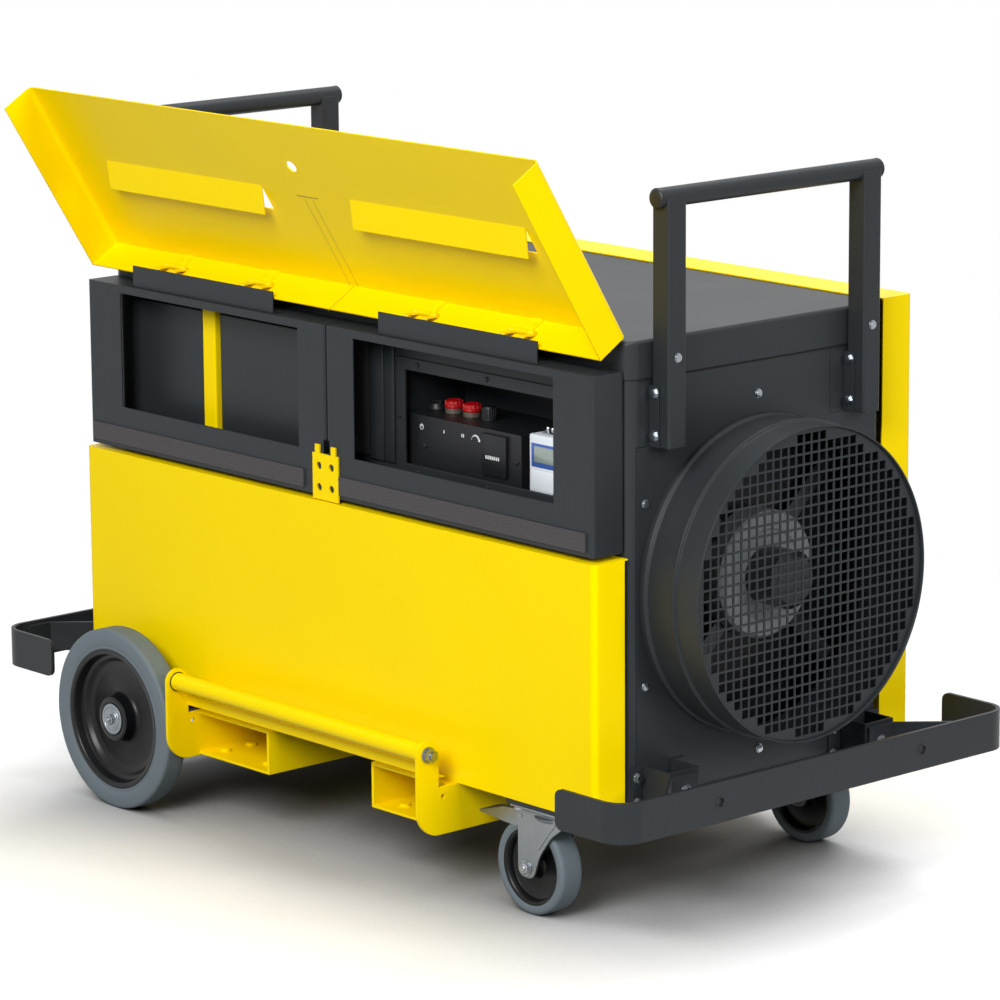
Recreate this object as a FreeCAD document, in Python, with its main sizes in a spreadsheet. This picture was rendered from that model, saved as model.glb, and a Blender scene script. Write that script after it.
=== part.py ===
import FreeCAD, Part
import math
import os
import re

import Sketcher

# Mobile dehumidifier with a hinged lid over its filter doors and controls, a round air outlet,
# two fixed wheels, two braked castors, fork pockets and bumpers.
# X runs along the body towards the outlet, -Y is the side with the lid, +Z is up.
# The origin is on the floor, under the centre of the body. Sizes are in millimetres.

doc = FreeCAD.newDocument("dehumidifier")
sheet = doc.addObject("Spreadsheet::Sheet", "Sizes")

SIZES = {
    # body
    "body_length": 1160, "body_width": 500, "top_height": 840, "underside": 172,
    "sheet": 2, "corner": 18, "pan_height": 36, "pan_sheet": 3,
    "cover_lip": 54, "cover_gap": 0.2, "edge_round": 6,
    # yellow covers and dark window frames on the sides
    "cover_depth": 64, "cover_inset": 1, "lower_cover_top": 537.5, "cover_corner": 10,
    "cover_flange_gap": 6,
    "frame_depth": 58, "frame_inset": 8.5, "frame_bottom": 544.5, "frame_top": 798.5, "frame_seam": 3,
    "window_bottom": 609.5, "window_top": 786.5, "window_end_margin": 80.5, "window_mid_margin": 63,
    "latch_gap_width": 14, "latch_gap_bottom": 608, "latch_gap_top": 628,
    # lid
    "lid_half_length": 574.7, "lid_height": 300, "lid_gap": 5.2, "lid_open_angle": 148.3,
    "lid_hole_radius": 10, "lid_hole_drop": 220,
    "vent_length": 372, "vent_height": 45, "vent_top_drop": 129, "vent_offset": 286, "vent_lean": 24,
    "hinge_reach": 30, "hinge_z": 836, "knuckle_radius": 4, "hinge_pin_radius": 2, "fit": 0.05,
    "leaf_width": 26, "knuckle_width": 13, "knuckle_gap": 0.4,
    "bracket_reach": 51, "bracket_depth": 22, "bracket_top": 831,
    "left_bracket_start": -466, "left_bracket_end": -128, "right_bracket_start": 112,
    "right_bracket_end": 451,
    "hinge_near": 90, "hinge_far": 116,
    # latch plate and rubber strips under the lid
    "latch_half_width": 29, "latch_bottom": 539, "latch_top": 607.5, "latch_prong": 13, "latch_sheet": 3,
    "latch_hole_radius": 5.5, "latch_hole_x": 14, "latch_hole_z": 16,
    "strip_bottom": 551.5, "strip_top": 578.5, "strip_thick": 3,
    # filter doors, controls and meter
    "door_thick": 8, "door_bottom": 556, "door_top": 770, "door_gap": 7, "door_end_margin": 45.5,
    "door_seat": 10,
    "post_start": -345, "post_end": -315, "post_thick": 14,
    "bay_start": 111, "bay_end": 469, "bay_bottom": 603, "bay_top": 741, "bay_depth": 132, "bay_margin": 18,
    "box_start": 98, "box_end": 344, "box_top": 674, "box_bottom": 592, "box_setback": 15,
    "meter_start": 358, "meter_end": 430, "meter_top": 680, "control_setback": 60,
    "switch_x": 112, "lamp_a_x": 149, "lamp_b_x": 188, "knob_x": 225,
    "stem_radius": 3, "lamp_base_radius": 12.5, "lamp_base_height": 8, "lens_radius": 12, "lens_height": 13,
    "switch_radius": 12.5, "switch_height": 15, "knob_radius": 10, "knob_height": 21,
    # air path
    "duct_radius": 225, "duct_z": 480, "duct_length": 110.5, "duct_sheet": 2, "duct_collar": 4,
    "bead_start": 61, "bead_width": 7, "bead_height": 4,
    "grille_setback": 5, "grille_pitch": 15, "grille_hole": 12, "grille_rim": 3,
    "panel_half_width": 234, "panel_neck": 144, "panel_neck_z": 690, "panel_bottom": 190, "panel_gap": 0.4,
    "slot_columns": 3, "slot_rows": 14, "slot_length": 110, "slot_width": 9, "slot_pitch": 26,
    "bulkhead_inset": 91, "inlet_radius": 150, "impeller_gap": 8, "impeller_width": 62,
    "impeller_radius": 185, "shaft_radius": 8, "motor_radius": 42, "motor_length": 80, "stay_radius": 5,
    "stay_reach": 200, "stay_over": 9, "spider_thick": 5,
    "coil_depth": 60, "coil_core": 14, "filter_core": 8, "frame_wall": 2, "coil_bottom": 182, "coil_top": 740,
    "evaporator_x": -180, "condenser_x": -60,
    "filter_depth": 46, "filter_a_x": -520, "filter_b_x": -450, "filter_top": 800,
    "tray_start": -220, "tray_end": 30, "tray_height": 30,
    "compressor_radius": 72, "compressor_height": 230, "compressor_x": 170,
    # handles
    "post_width": 34, "handle_spread": 191, "handle_bottom": 690, "bar_z": 1036, "bar_radius": 14,
    "bar_over": 6,
    "tube_wall": 3, "tab": 3, "tab_depth": 19, "tab_height": 86,
    # bumpers
    "bumper_reach": 133.5, "bumper_side": 140, "bumper_bottom": 180, "bumper_height": 58, "bumper_thick": 6,
    "bumper_corner": 40, "bumper_hole_y": 202, "bumper_hole_radius": 7, "end_round": 12,
    "hat_depth": 54, "hat_out": 224, "hat_in": 166, "hat_flange": 22, "hat_sheet": 3,
    "hat_bottom": 175, "hat_height": 63, "arm_sheet": 4, "arm_out": 300, "arm_tab": 40, "arm_height": 46,
    # fork pockets and loading roller
    "fork_inset": 288, "pocket_width": 173, "fork_sheet": 5, "fork_bottom": 102, "pocket_reach": 80,
    "ear_reach": 140, "ear_width": 40, "roller_z": 224, "roller_radius": 13.5, "roller_gap": 1.5,
    "roller_shaft_radius": 6, "roller_bush": 22,
    # rear axle and wheels
    "axle_inset": 146, "axle_radius": 10, "wheel_radius": 140, "wheel_width": 38, "wheel_face": 136,
    "tyre_depth": 31, "hub_radius": 34, "cap_radius": 24, "axle_plate": 8, "axle_plate_inset": 25,
    "axle_plate_half": 48,
    # castors
    "castor_inset": 122, "castor_reach": 21, "castor_radius": 70, "castor_width": 40, "castor_trail": 40,
    "castor_tread": 13.5, "castor_beam": 7, "castor_plate": 4, "castor_plate_length": 115,
    "castor_plate_width": 85, "castor_boss": 6, "castor_leg": 3.5, "castor_leg_gap": 22.5,
    "kingpin_radius": 6, "castor_axle_radius": 6, "pedal_length": 96, "pedal_width": 36, "pedal_thick": 3,
    "pedal_pivot": 50, "pedal_pivot_z": 145.2, "pedal_slope": 9, "pedal_pin_radius": 2.2,
    # fasteners and running gaps
    "bolt_head": 7.5, "bolt_head_height": 6, "bolt_shank": 4, "screw_head": 5, "screw_head_height": 2.6,
    "screw_shank": 2.4, "screw_clear": 0.3, "run_gap": 0.3,
}

for row, (alias, value) in enumerate(SIZES.items(), start=1):
    sheet.set(f"A{row}", alias)
    sheet.set(f"B{row}", str(value))
    sheet.setAlias(f"B{row}", alias)
doc.recompute()

# Places that several sub-parts share, written once as expressions of the sheet's sizes.
END = "body_length / 2"
SIDE = "body_width / 2"
COVER_X = f"({END} - cover_inset)"
FRAME_X = f"({END} - frame_inset)"
NEAR_FACE = f"(-{SIDE} - frame_depth)"
COVER_FACE = f"(-{SIDE} - cover_depth)"
FORK_X = f"({END} - fork_inset)"
ROLLER_Y = f"(-{SIDE} - ear_reach + ear_width / 2)"
AXLE_X = f"(axle_inset - {END})"
CASTOR_X = f"({END} - castor_inset)"
WHEEL_FACE = f"({SIDE} + wheel_face)"
BUMPER_X = f"({END} + bumper_reach)"
BUMPER_Y = f"({SIDE} + bumper_side)"
TOP_OUT = "(sheet + cover_gap)"
BEAM_BOTTOM = "(underside - castor_beam)"
PLATE_BOTTOM = "(underside - castor_beam - castor_plate)"
BOSS_BOTTOM = "(underside - castor_beam - castor_plate - castor_boss)"
CROWN_TOP = "(underside - castor_beam - castor_plate - castor_boss - run_gap)"
HANDLE_FACE = f"({END} + {TOP_OUT} + run_gap)"
POST_TOP = "(top_height - cover_lip - run_gap)"
BULKHEAD_X = f"({END} - bulkhead_inset)"
IMPELLER_X = f"({BULKHEAD_X} + 3 + impeller_gap)"
BAY_X = ("(bay_start - bay_margin)", "(bay_end + bay_margin)")
HINGE_Y = f"({SIDE} + hinge_reach)"
BRACKET_Y = f"({SIDE} + bracket_reach)"
LID_TOP = "(hinge_z + knuckle_radius + sheet)"
FIXED_KNUCKLE = "(knuckle_radius - knuckle_gap)"
BOX_FACE = f"({SIDE} - box_setback)"
CONTROL_Y = f"({SIDE} - control_setback)"
RIM_RADIUS = "(wheel_radius - tyre_depth)"
CASTOR_RIM = "(castor_radius - castor_tread)"
CASTOR_Y = f"({SIDE} + castor_reach)"

TURN_EXTRUDED = {
    "x": FreeCAD.Rotation(FreeCAD.Vector(1, 1, 1), 120),
    "y": FreeCAD.Rotation(FreeCAD.Vector(1, 0, 0), 90),
    "z": FreeCAD.Rotation(),
}
TURN_REVOLVED = {
    "x": FreeCAD.Rotation(FreeCAD.Vector(0, 0, 1), -90),
    "y": FreeCAD.Rotation(),
    "z": FreeCAD.Rotation(FreeCAD.Vector(1, 0, 0), 90),
}
TURN_ROUND = {
    "x": FreeCAD.Rotation(FreeCAD.Vector(0, 1, 0), 90),
    "y": FreeCAD.Rotation(FreeCAD.Vector(1, 0, 0), -90),
    "z": FreeCAD.Rotation(),
}
nodes = {}


def bound(text):
    """An expression in which each size's name points at its cell."""
    return re.sub(r"[a-z][a-z_]*", lambda word: f"Sizes.{word[0]}" if word[0] in SIZES else word[0],
                  str(text))


def number(text):
    """What an expression of the sheet's sizes comes to."""
    return float(sheet.evalExpression(bound(text)))


def bind(item, prop, text):
    item.setExpression(prop, bound(text))


def put(item, turn, at):
    item.Placement = FreeCAD.Placement(FreeCAD.Vector(), turn)
    for letter, text in zip("xyz", at):
        bind(item, f"Placement.Base.{letter}", text)
    return item


def box(name, x, y, z):
    """A plain block between two places along each axis."""
    block = doc.addObject("Part::Box", name)
    for prop, (low, high) in zip(("Length", "Width", "Height"), (x, y, z)):
        bind(block, prop, f"({high}) - ({low})")
    return put(block, FreeCAD.Rotation(), (x[0], y[0], z[0]))


def rod(name, axis, at, radius, length):
    """A cylinder that starts at a point and runs along an axis."""
    cylinder = doc.addObject("Part::Cylinder", name)
    bind(cylinder, "Radius", radius)
    bind(cylinder, "Height", length)
    return put(cylinder, TURN_ROUND[axis], at)


def sketch_in(body, points):
    """A closed outline on the body's own XY plane, each corner held by two bound distances."""
    sketch = body.newObject("Sketcher::SketchObject", f"{body.Name}_outline")
    plane = next(item for item in body.Origin.OriginFeatures if item.Role == "XY_Plane")
    sketch.AttachmentSupport = [(plane, "")]
    sketch.MapMode = "FlatFace"
    corners = [FreeCAD.Vector(number(across), number(up), 0) for across, up in points]
    for start, end in zip(corners, corners[1:] + corners[:1]):
        sketch.addGeometry(Part.LineSegment(start, end))
    for line in range(len(points)):
        sketch.addConstraint(Sketcher.Constraint("Coincident", line, 2, (line + 1) % len(points), 1))
    for line, (point, corner) in enumerate(zip(points, corners)):
        for kind, text, value in zip(("DistanceX", "DistanceY"), point, corner):
            index = sketch.addConstraint(Sketcher.Constraint(kind, -1, 1, line, 1, value))
            bind(sketch, f"Constraints[{index}]", text)
    return sketch


def pressed(name, axis, points, low, high):
    """An outline made solid between two places along an axis: (y, z), (x, z) or (x, y) corners."""
    body = doc.addObject("PartDesign::Body", name)
    pad = body.newObject("PartDesign::Pad", f"{name}_pad")
    pad.Profile = sketch_in(body, points)
    bind(pad, "Length", f"({high}) - ({low})")
    base = {"x": (low, 0, 0), "y": (0, high, 0), "z": (0, 0, low)}[axis]
    return put(body, TURN_EXTRUDED[axis], base)


def turned(name, axis, at, points):
    """An outline of (radius, distance along the axis) corners turned through a full circle."""
    body = doc.addObject("PartDesign::Body", name)
    sketch = sketch_in(body, points)
    turn = body.newObject("PartDesign::Revolution", f"{name}_turn")
    turn.Profile = sketch
    turn.ReferenceAxis = (sketch, ["V_Axis"])
    turn.Angle = 360
    return put(body, TURN_REVOLVED[axis], at)


def is_along(edge, letter):
    if not isinstance(edge.Curve, Part.Line):
        return False
    direction = edge.tangentAt(edge.FirstParameter)
    return abs(getattr(direction, letter)) > 0.999


def rounded_block(name, axis, x, y, z, radius):
    """A block whose edges along one axis are rounded."""
    spans = {"x": (y, z, x), "y": (x, z, y), "z": (x, y, z)}[axis]
    (left, right), (bottom, top), (low, high) = spans
    points = [(left, bottom), (right, bottom), (right, top), (left, top)]
    body = pressed(name, axis, points, low, high)
    doc.recompute()
    pad = body.Tip
    edges = [f"Edge{index}" for index, edge in enumerate(pad.Shape.Edges, start=1) if is_along(edge, "z")]
    soft = body.newObject("PartDesign::Fillet", f"{name}_corners")
    soft.Base = (pad, edges)
    bind(soft, "Radius", radius)
    return body


def joined(name, *items):
    fuse = doc.addObject("Part::MultiFuse", name)
    fuse.Shapes = list(items)
    fuse.Refine = True
    return fuse


def cut(name, base, *tools):
    result = doc.addObject("Part::Cut", name)
    result.Base = base
    result.Tool = tools[0] if len(tools) == 1 else joined(f"{name}_tools", *tools)
    return result


def group(name, *items):
    """Separate solids kept together as one sub-part."""
    compound = doc.addObject("Part::Compound", name)
    compound.Links = list(items)
    return compound


def softened(name, source, radius, chosen):
    """Rounds the edges that chosen() picks, by a radius of the sheet."""
    doc.recompute()
    size = number(radius)
    picked = [(index, size, size) for index, edge in enumerate(source.Shape.Edges, start=1) if chosen(edge)]
    soft = doc.addObject("Part::Fillet", name)
    soft.Base = source
    soft.Edges = picked
    return soft


def node(label, item):
    """Names a finished sub-part; the label is its file's name."""
    item.Label = label
    nodes[label] = item
    return item


def mirrored_pair(text):
    return (f"-({text})", text)


def hollow_block(name, x, y, z, radius, wall, x_in, y_in, z_in):
    """A sheet-metal shell: a rounded block less the rounded block inside it."""
    outer = rounded_block(f"{name}_outer", "z", x, y, z, radius)
    inner = rounded_block(f"{name}_inner", "z", x_in, y_in, z_in, f"{radius} - {wall}")
    return cut(f"{name}_shell", outer, inner)


# ---------------------------------------------------------------- body

def base_pan():
    """Floor pan inside the body's lower edge, with the castor beam and the axle plates welded under it."""
    wall_x = f"({END} - sheet)"
    wall_y = f"({SIDE} - sheet)"
    pan = hollow_block("pan", mirrored_pair(wall_x), mirrored_pair(wall_y),
                       ("underside", "underside + pan_height"),
                       "(corner - sheet)", "pan_sheet",
                       mirrored_pair(f"{wall_x} - pan_sheet"), mirrored_pair(f"{wall_y} - pan_sheet"),
                       ("underside + pan_sheet", "underside + pan_height + 1"))
    beam_half = "(castor_plate_length / 2 + 8)"
    beam = box("castor_beam", (f"{CASTOR_X} - {beam_half}", f"{CASTOR_X} + {beam_half}"),
               mirrored_pair(f"{CASTOR_Y} + castor_plate_width / 2 - 2"), (BEAM_BOTTOM, "underside"))
    parts = [pan, beam]
    for sign, side in ((-1, "near"), (1, "far")):
        middle = f"({sign} * ({SIDE} - axle_plate_inset))"
        outline = [(f"{AXLE_X} - axle_plate_half", "underside"), (f"{AXLE_X} - 22", "wheel_radius - 24"),
                   (f"{AXLE_X} + 22", "wheel_radius - 24"), (f"{AXLE_X} + axle_plate_half", "underside")]
        parts.append(pressed(f"axle_plate_{side}", "y", outline,
                             f"{middle} - axle_plate / 2", f"{middle} + axle_plate / 2"))
    whole = joined("pan_welded", *parts)
    bore = rod("axle_bore", "y", (AXLE_X, f"-{SIDE}", "wheel_radius"), "axle_radius", "body_width")
    return node("base_pan", cut("pan_bored", whole, bore))


def t_panel(name, low, high, grow):
    """End panel outline: wide below the handles, narrow between them."""
    width = f"(panel_half_width + {grow})"
    neck = f"(panel_neck + {grow})"
    shoulder = f"(panel_neck_z + {grow})"
    top = f"(top_height - cover_lip - 2 + {grow})"
    bottom = f"(panel_bottom - {grow})"
    outline = [(f"-{width}", bottom), (width, bottom), (width, shoulder), (neck, shoulder),
               (neck, top), (f"-{neck}", top), (f"-{neck}", shoulder), (f"-{width}", shoulder)]
    return pressed(name, "x", outline, low, high)


def body_shell():
    """Dark four-sided body with openings for the end panels, the filter doors and the control bay."""
    shell = hollow_block("body", mirrored_pair(END), mirrored_pair(SIDE), ("underside", "top_height - sheet"),
                         "corner", "sheet",
                         mirrored_pair(f"{END} - sheet"), mirrored_pair(f"{SIDE} - sheet"),
                         ("underside - 1", "top_height"))
    outlet = t_panel("outlet_panel_opening", f"{END} - sheet - 1", f"{END} + 1", "panel_gap")
    inlet = t_panel("inlet_panel_opening", f"-{END} - 1", f"-{END} + sheet + 1", "panel_gap")
    near = (f"-{SIDE} - 1", f"-{SIDE} + sheet + 1")
    doors = box("door_opening", (f"-{FRAME_X} + window_end_margin", "-window_mid_margin"), near,
                ("window_bottom", "door_top - door_seat"))
    bay = box("bay_opening", ("bay_start", "bay_end"), near, ("bay_bottom", "bay_top"))
    return node("body_shell", cut("body_cut", shell, outlet, inlet, doors, bay))


def end_screw_places():
    """(y, z) of the screws that hold an end panel."""
    return [(0, "panel_neck_z + 47"), ("panel_half_width - 16", 610), ("-panel_half_width + 16", 610),
            ("panel_half_width - 16", 351), ("-panel_half_width + 16", 351), (5, "panel_bottom + 32")]


def end_panels():
    screws = []
    for label, sign in (("outlet_panel", 1), ("inlet_panel", -1)):
        low, high = (f"{END} - sheet", END) if sign > 0 else (f"-{END}", f"-{END} + sheet")
        plate = t_panel(f"{label}_plate", low, high, "0")
        holes = []
        for index, (across, up) in enumerate(end_screw_places()):
            holes.append(rod(f"{label}_hole_{index}", "x", (f"{low} - 1", across, up),
                             "screw_shank + screw_clear", "sheet + 2"))
            screws.append(screw(f"{label}_screw_{index}", "x", sign, (f"{sign} * {END}", across, up)))
        if sign > 0:
            holes.append(rod(f"{label}_mouth", "x", (f"{low} - 1", 0, "duct_z"), "duct_radius + run_gap",
                             "sheet + 2"))
        else:
            for column in range(int(SIZES["slot_columns"])):
                for line in range(int(SIZES["slot_rows"])):
                    middle = f"(({column} - (slot_columns - 1) / 2) * (slot_length + 20))"
                    height = f"(duct_z + ({line} - (slot_rows - 1) / 2) * slot_pitch)"
                    holes.append(box(f"{label}_slot_{column}_{line}", (f"{low} - 1", f"{high} + 1"),
                                     (f"{middle} - slot_length / 2", f"{middle} + slot_length / 2"),
                                     (f"{height} - slot_width / 2", f"{height} + slot_width / 2")))
        node(label, cut(f"{label}_cut", plate, *holes))
    return screws


def screw(name, axis, sign, at):
    """Button-head screw: the head stands on the face at its point, the shank goes inwards."""
    index = "xyz".index(axis)
    head = [("0", "0"), ("screw_head", "0"), ("screw_head * 0.86", "screw_head_height * 0.62"),
            ("screw_head * 0.45", "screw_head_height"), ("0", "screw_head_height")]
    shank = [("0", "-sheet"), ("screw_shank", "-sheet"), ("screw_shank", "0")]
    outline = shank + head[1:]
    item = turned(name, axis, at, outline)
    if sign < 0:
        flip_about = "zxy"[index]
        flip = {"x": FreeCAD.Vector(1, 0, 0), "y": FreeCAD.Vector(0, 1, 0),
                "z": FreeCAD.Vector(0, 0, 1)}[flip_about]
        put(item, FreeCAD.Rotation(flip, 180).multiply(TURN_REVOLVED[axis]), at)
    return item


def bolt(name, axis, sign, at, grip):
    """Hexagon bolt: the head stands on the face at its point, the shank goes inwards by its grip."""
    head = doc.addObject("Part::Prism", f"{name}_head")
    head.Polygon = 6
    bind(head, "Circumradius", "bolt_head")
    bind(head, "Height", "bolt_head_height")
    step = {"x": (1, 0, 0), "y": (0, 1, 0), "z": (0, 0, 1)}[axis]
    low = [f"({text}) - {part} * bolt_head_height" if sign < 0 else text for text, part in zip(at, step)]
    put(head, TURN_ROUND[axis], low)
    start = [f"({text}) - {part} * ({grip})" if sign > 0 else text for text, part in zip(at, step)]
    shank = rod(f"{name}_shank", axis, start, "bolt_shank", grip)
    return joined(name, head, shank)


def top_cover():
    """Shallow lid of the body with a turned-down lip, softened along its upper edge."""
    outer = rounded_block("top_outer", "z", mirrored_pair(f"{END} + {TOP_OUT}"),
                          mirrored_pair(f"{SIDE} + {TOP_OUT}"),
                          ("top_height - cover_lip", "top_height"), f"corner + {TOP_OUT}")
    doc.recompute()
    rim = number("top_height")
    low = number("top_height - cover_lip")
    pad = outer.Tip
    edges = [f"Edge{index}" for index, edge in enumerate(pad.Shape.Edges, start=1)
             if abs(edge.BoundBox.ZMin - (rim - low)) < 0.01]
    soft = outer.newObject("PartDesign::Fillet", "top_outer_edge")
    soft.Base = (pad, edges)
    bind(soft, "Radius", "edge_round")
    inner = rounded_block("top_inner", "z", mirrored_pair(f"{END} + cover_gap"),
                          mirrored_pair(f"{SIDE} + cover_gap"),
                          ("top_height - cover_lip - 1", "top_height - sheet"), "corner + cover_gap")
    return node("top_cover", cut("top_cut", outer, inner))


# ---------------------------------------------------------------- side covers

def tray(name, x, front, back, z, closed_bottom, closed_top, radius):
    """Pressed side cover: a front, two side flanges and, where asked, a bottom and a top flange."""
    sign = "-" if number(front) < number(back) else ""
    far = f"({back} {'+' if sign else '-'} 40)"
    y = (front, far) if sign else (far, front)
    inner_face = f"({front} + sheet)" if sign else f"({front} - sheet)"
    y_in = (inner_face, f"({far} + 30)") if sign else (f"({far} - 30)", inner_face)
    low = "+ sheet" if closed_bottom else "- 1"
    high = "- sheet" if closed_top else "+ 1"
    outer = rounded_block(f"{name}_outer", "z", x, y, z, radius)
    inner = rounded_block(f"{name}_inner", "z", (f"{x[0]} + sheet", f"{x[1]} - sheet"), y_in,
                          (f"{z[0]} {low}", f"{z[1]} {high}"), f"{radius} - sheet")
    shell = cut(f"{name}_shell", outer, inner)
    rear = (back, f"({far} + 50)") if sign else (f"({far} - 50)", back)
    trim = box(f"{name}_trim", (f"{x[0]} - 5", f"{x[1]} + 5"), rear, (f"{z[0]} - 5", f"{z[1]} + 5"))
    return cut(f"{name}_trimmed", shell, trim)


def lower_cover():
    """Yellow cover along the bottom of the near side, open underneath; its top flange meets the body."""
    body = tray("lower", mirrored_pair(COVER_X), COVER_FACE, f"-{SIDE}", ("underside", "lower_cover_top"),
                False, True, "cover_corner")
    relief = []
    for sign, side in ((-1, "left"), (1, "right")):
        inner = f"({COVER_X} - sheet - 1)"
        x = (f"-{COVER_X} - 1", f"-{inner}") if sign < 0 else (inner, f"{COVER_X} + 1")
        relief.append(box(f"lower_relief_{side}", x, (f"-{SIDE} - cover_flange_gap", f"-{SIDE} + 1"),
                          ("underside - 1", "lower_cover_top - sheet")))
    return node("lower_cover", cut("lower_cut", body, *relief))


def far_cover():
    """Yellow cover over the whole far side; its top flange lies on the top cover's edge."""
    top = "(top_height + sheet + run_gap)"
    shell = tray("far", mirrored_pair(COVER_X), f"({SIDE} + cover_depth)", f"({SIDE} + {TOP_OUT})",
                 ("underside", top), False, True, "cover_corner")
    flange = box("far_flange", mirrored_pair(f"{COVER_X} - cover_corner"),
                 (f"{SIDE} + {TOP_OUT} - edge_round + run_gap", f"{SIDE} + {TOP_OUT} + 1"),
                 (f"{top} - sheet", top))
    return node("far_cover", joined("far_joined", shell, flange))


def window_frames():
    """Two dark pressed frames over the near side's upper half, each with one window and a gap between."""
    for label, sign in (("left_window_frame", -1), ("right_window_frame", 1)):
        seam = f"{sign} * frame_seam / 2"
        x = (f"-{FRAME_X}", seam) if sign < 0 else (seam, FRAME_X)
        shell = tray(label + "_tray", x, NEAR_FACE, f"(-{SIDE} - {TOP_OUT} - run_gap)",
                     ("frame_bottom", "frame_top"),
                     True, True, "frame_seam + 1")
        window_x = (f"-{FRAME_X} + window_end_margin", "-window_mid_margin")
        if sign > 0:
            window_x = ("window_mid_margin", f"{FRAME_X} - window_end_margin")
        window = box(f"{label}_window", window_x, (f"{NEAR_FACE} - 1", f"{NEAR_FACE} + sheet + 1"),
                     ("window_bottom", "window_top"))
        notch_x = ("-latch_gap_width / 2", f"{seam} + 1") if sign < 0 else (f"{seam} - 1",
                                                                            "latch_gap_width / 2")
        notch = box(f"{label}_notch", notch_x, (f"{NEAR_FACE} - 1", f"-{SIDE}"),
                    ("latch_gap_bottom", "latch_gap_top"))
        node(label, cut(f"{label}_cut", shell, window, notch))


def latch_plate():
    """Yellow plate with four holes and two prongs beside the lid's lock hole."""
    y = (f"{NEAR_FACE} - latch_sheet", NEAR_FACE)
    plate = box("latch_sheet_plate", mirrored_pair("latch_half_width"), y, ("latch_bottom", "latch_top"))
    parts = [plate]
    for sign, side in ((-1, "left"), (1, "right")):
        inner, outer = "latch_half_width * 0.45", "latch_half_width * 0.8"
        x = (inner, outer) if sign > 0 else (f"-{outer}", f"-{inner}")
        parts.append(box(f"latch_prong_{side}", x, y, ("latch_top - 1", "latch_top + latch_prong")))
    holes = []
    for across in (-1, 1):
        for up in (-1, 1):
            middle = f"((latch_bottom + latch_top) / 2 + {up} * latch_hole_z)"
            holes.append(rod(f"latch_hole_{across + 1}_{up + 1}", "y",
                             (f"{across} * latch_hole_x", f"{NEAR_FACE} - latch_sheet - 1", middle),
                             "latch_hole_radius", "latch_sheet + 2"))
    return node("latch_plate", cut("latch_cut", joined("latch_joined", *parts), *holes))


def edge_strips():
    """Two rubber strips that the closed lid's free edge lies against."""
    y = (f"{NEAR_FACE} - strip_thick", NEAR_FACE)
    z = ("strip_bottom", "strip_top")
    left = box("strip_left", ("cover_corner - lid_half_length", "-latch_half_width - 22"), y, z)
    right = box("strip_right", ("latch_half_width + 1", f"{FRAME_X} - 14"), y, z)
    return node("edge_strips", group("strips", left, right))


# ---------------------------------------------------------------- lid

def hinge_places():
    """X of each lid hinge, two on each bracket."""
    return {f"{side}_{which}": f"(({side}_bracket_start + {side}_bracket_end) / 2 {offset})"
            for side in ("left", "right") for which, offset in (("a", "- hinge_near"), ("b", "+ hinge_far"))}


def opened(item):
    """Turns a piece made in the lid's closed place about the hinge to the open rest place."""
    item.Placement = FreeCAD.Placement(FreeCAD.Vector(), FreeCAD.Rotation(FreeCAD.Vector(1, 0, 0), -10))
    bind(item, "Placement.Rotation.Angle", "-lid_open_angle")
    bind(item, "Placement.Base.y",
         f"-{HINGE_Y} + {HINGE_Y} * cos(lid_open_angle) - hinge_z * sin(lid_open_angle)")
    bind(item, "Placement.Base.z",
         f"hinge_z - hinge_z * cos(lid_open_angle) - {HINGE_Y} * sin(lid_open_angle)")
    return item


def lid():
    """Yellow lid: a front with a lock hole and two vents, two side flanges and a top flange."""
    front = COVER_FACE
    bottom = f"({LID_TOP} - lid_height)"
    rear = f"(-{SIDE} - {TOP_OUT} - lid_gap)"
    shell = tray("lid", mirrored_pair("lid_half_length"), front, rear, (bottom, LID_TOP),
                 False, True, "cover_corner")
    hole = rod("lid_lock_hole", "y", (0, f"{front} - 1", f"{LID_TOP} - lid_hole_drop"), "lid_hole_radius",
               "sheet + 2")
    tools = [hole]
    vents = []
    for side, sign in (("left", -1), ("right", 1)):
        x = (f"{sign} * vent_offset - vent_length / 2", f"{sign} * vent_offset + vent_length / 2")
        z = (f"{LID_TOP} - vent_top_drop - vent_height", f"{LID_TOP} - vent_top_drop")
        tools.append(box(f"vent_{side}", x, (f"{front} - 1", f"{front} + sheet + 1"), z))
        rise = "vent_height * cos(vent_lean)"
        reach = "vent_height * sin(vent_lean)"
        outline = [(f"{front}", z[0]), (f"{front} + sheet", z[0]),
                   (f"{front} + sheet + {reach}", f"{z[0]} + {rise}"),
                   (f"{front} + {reach}", f"{z[0]} + {rise}")]
        vents.append(pressed(f"vent_tongue_{side}", "x", outline, x[0], x[1]))
    whole = joined("lid_whole", cut("lid_cut", shell, *tools), *vents)
    return node("lid", opened(whole))


def lid_leaves():
    """Moving hinge leaves, welded under the lid's top flange."""
    leaves = []
    for place, x in hinge_places().items():
        span = (f"{x} - leaf_width / 2", f"{x} + leaf_width / 2")
        barrel = rod(f"leaf_barrel_{place}", "x", (span[0], f"-{HINGE_Y}", "hinge_z"), "knuckle_radius",
                     "leaf_width")
        plate = box(f"leaf_plate_{place}", span, (f"{COVER_FACE} + sheet", f"-{HINGE_Y}"),
                    ("hinge_z + knuckle_radius - sheet", "hinge_z + knuckle_radius"))
        bore = rod(f"leaf_bore_{place}", "x", (f"{span[0]} - 1", f"-{HINGE_Y}", "hinge_z"),
                   "hinge_pin_radius + fit",
                   "leaf_width + 2")
        leaves.append(cut(f"leaf_{place}", joined(f"leaf_joined_{place}", barrel, plate), bore))
    return node("lid_hinge_leaves", opened(group("leaves", *leaves)))


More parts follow.
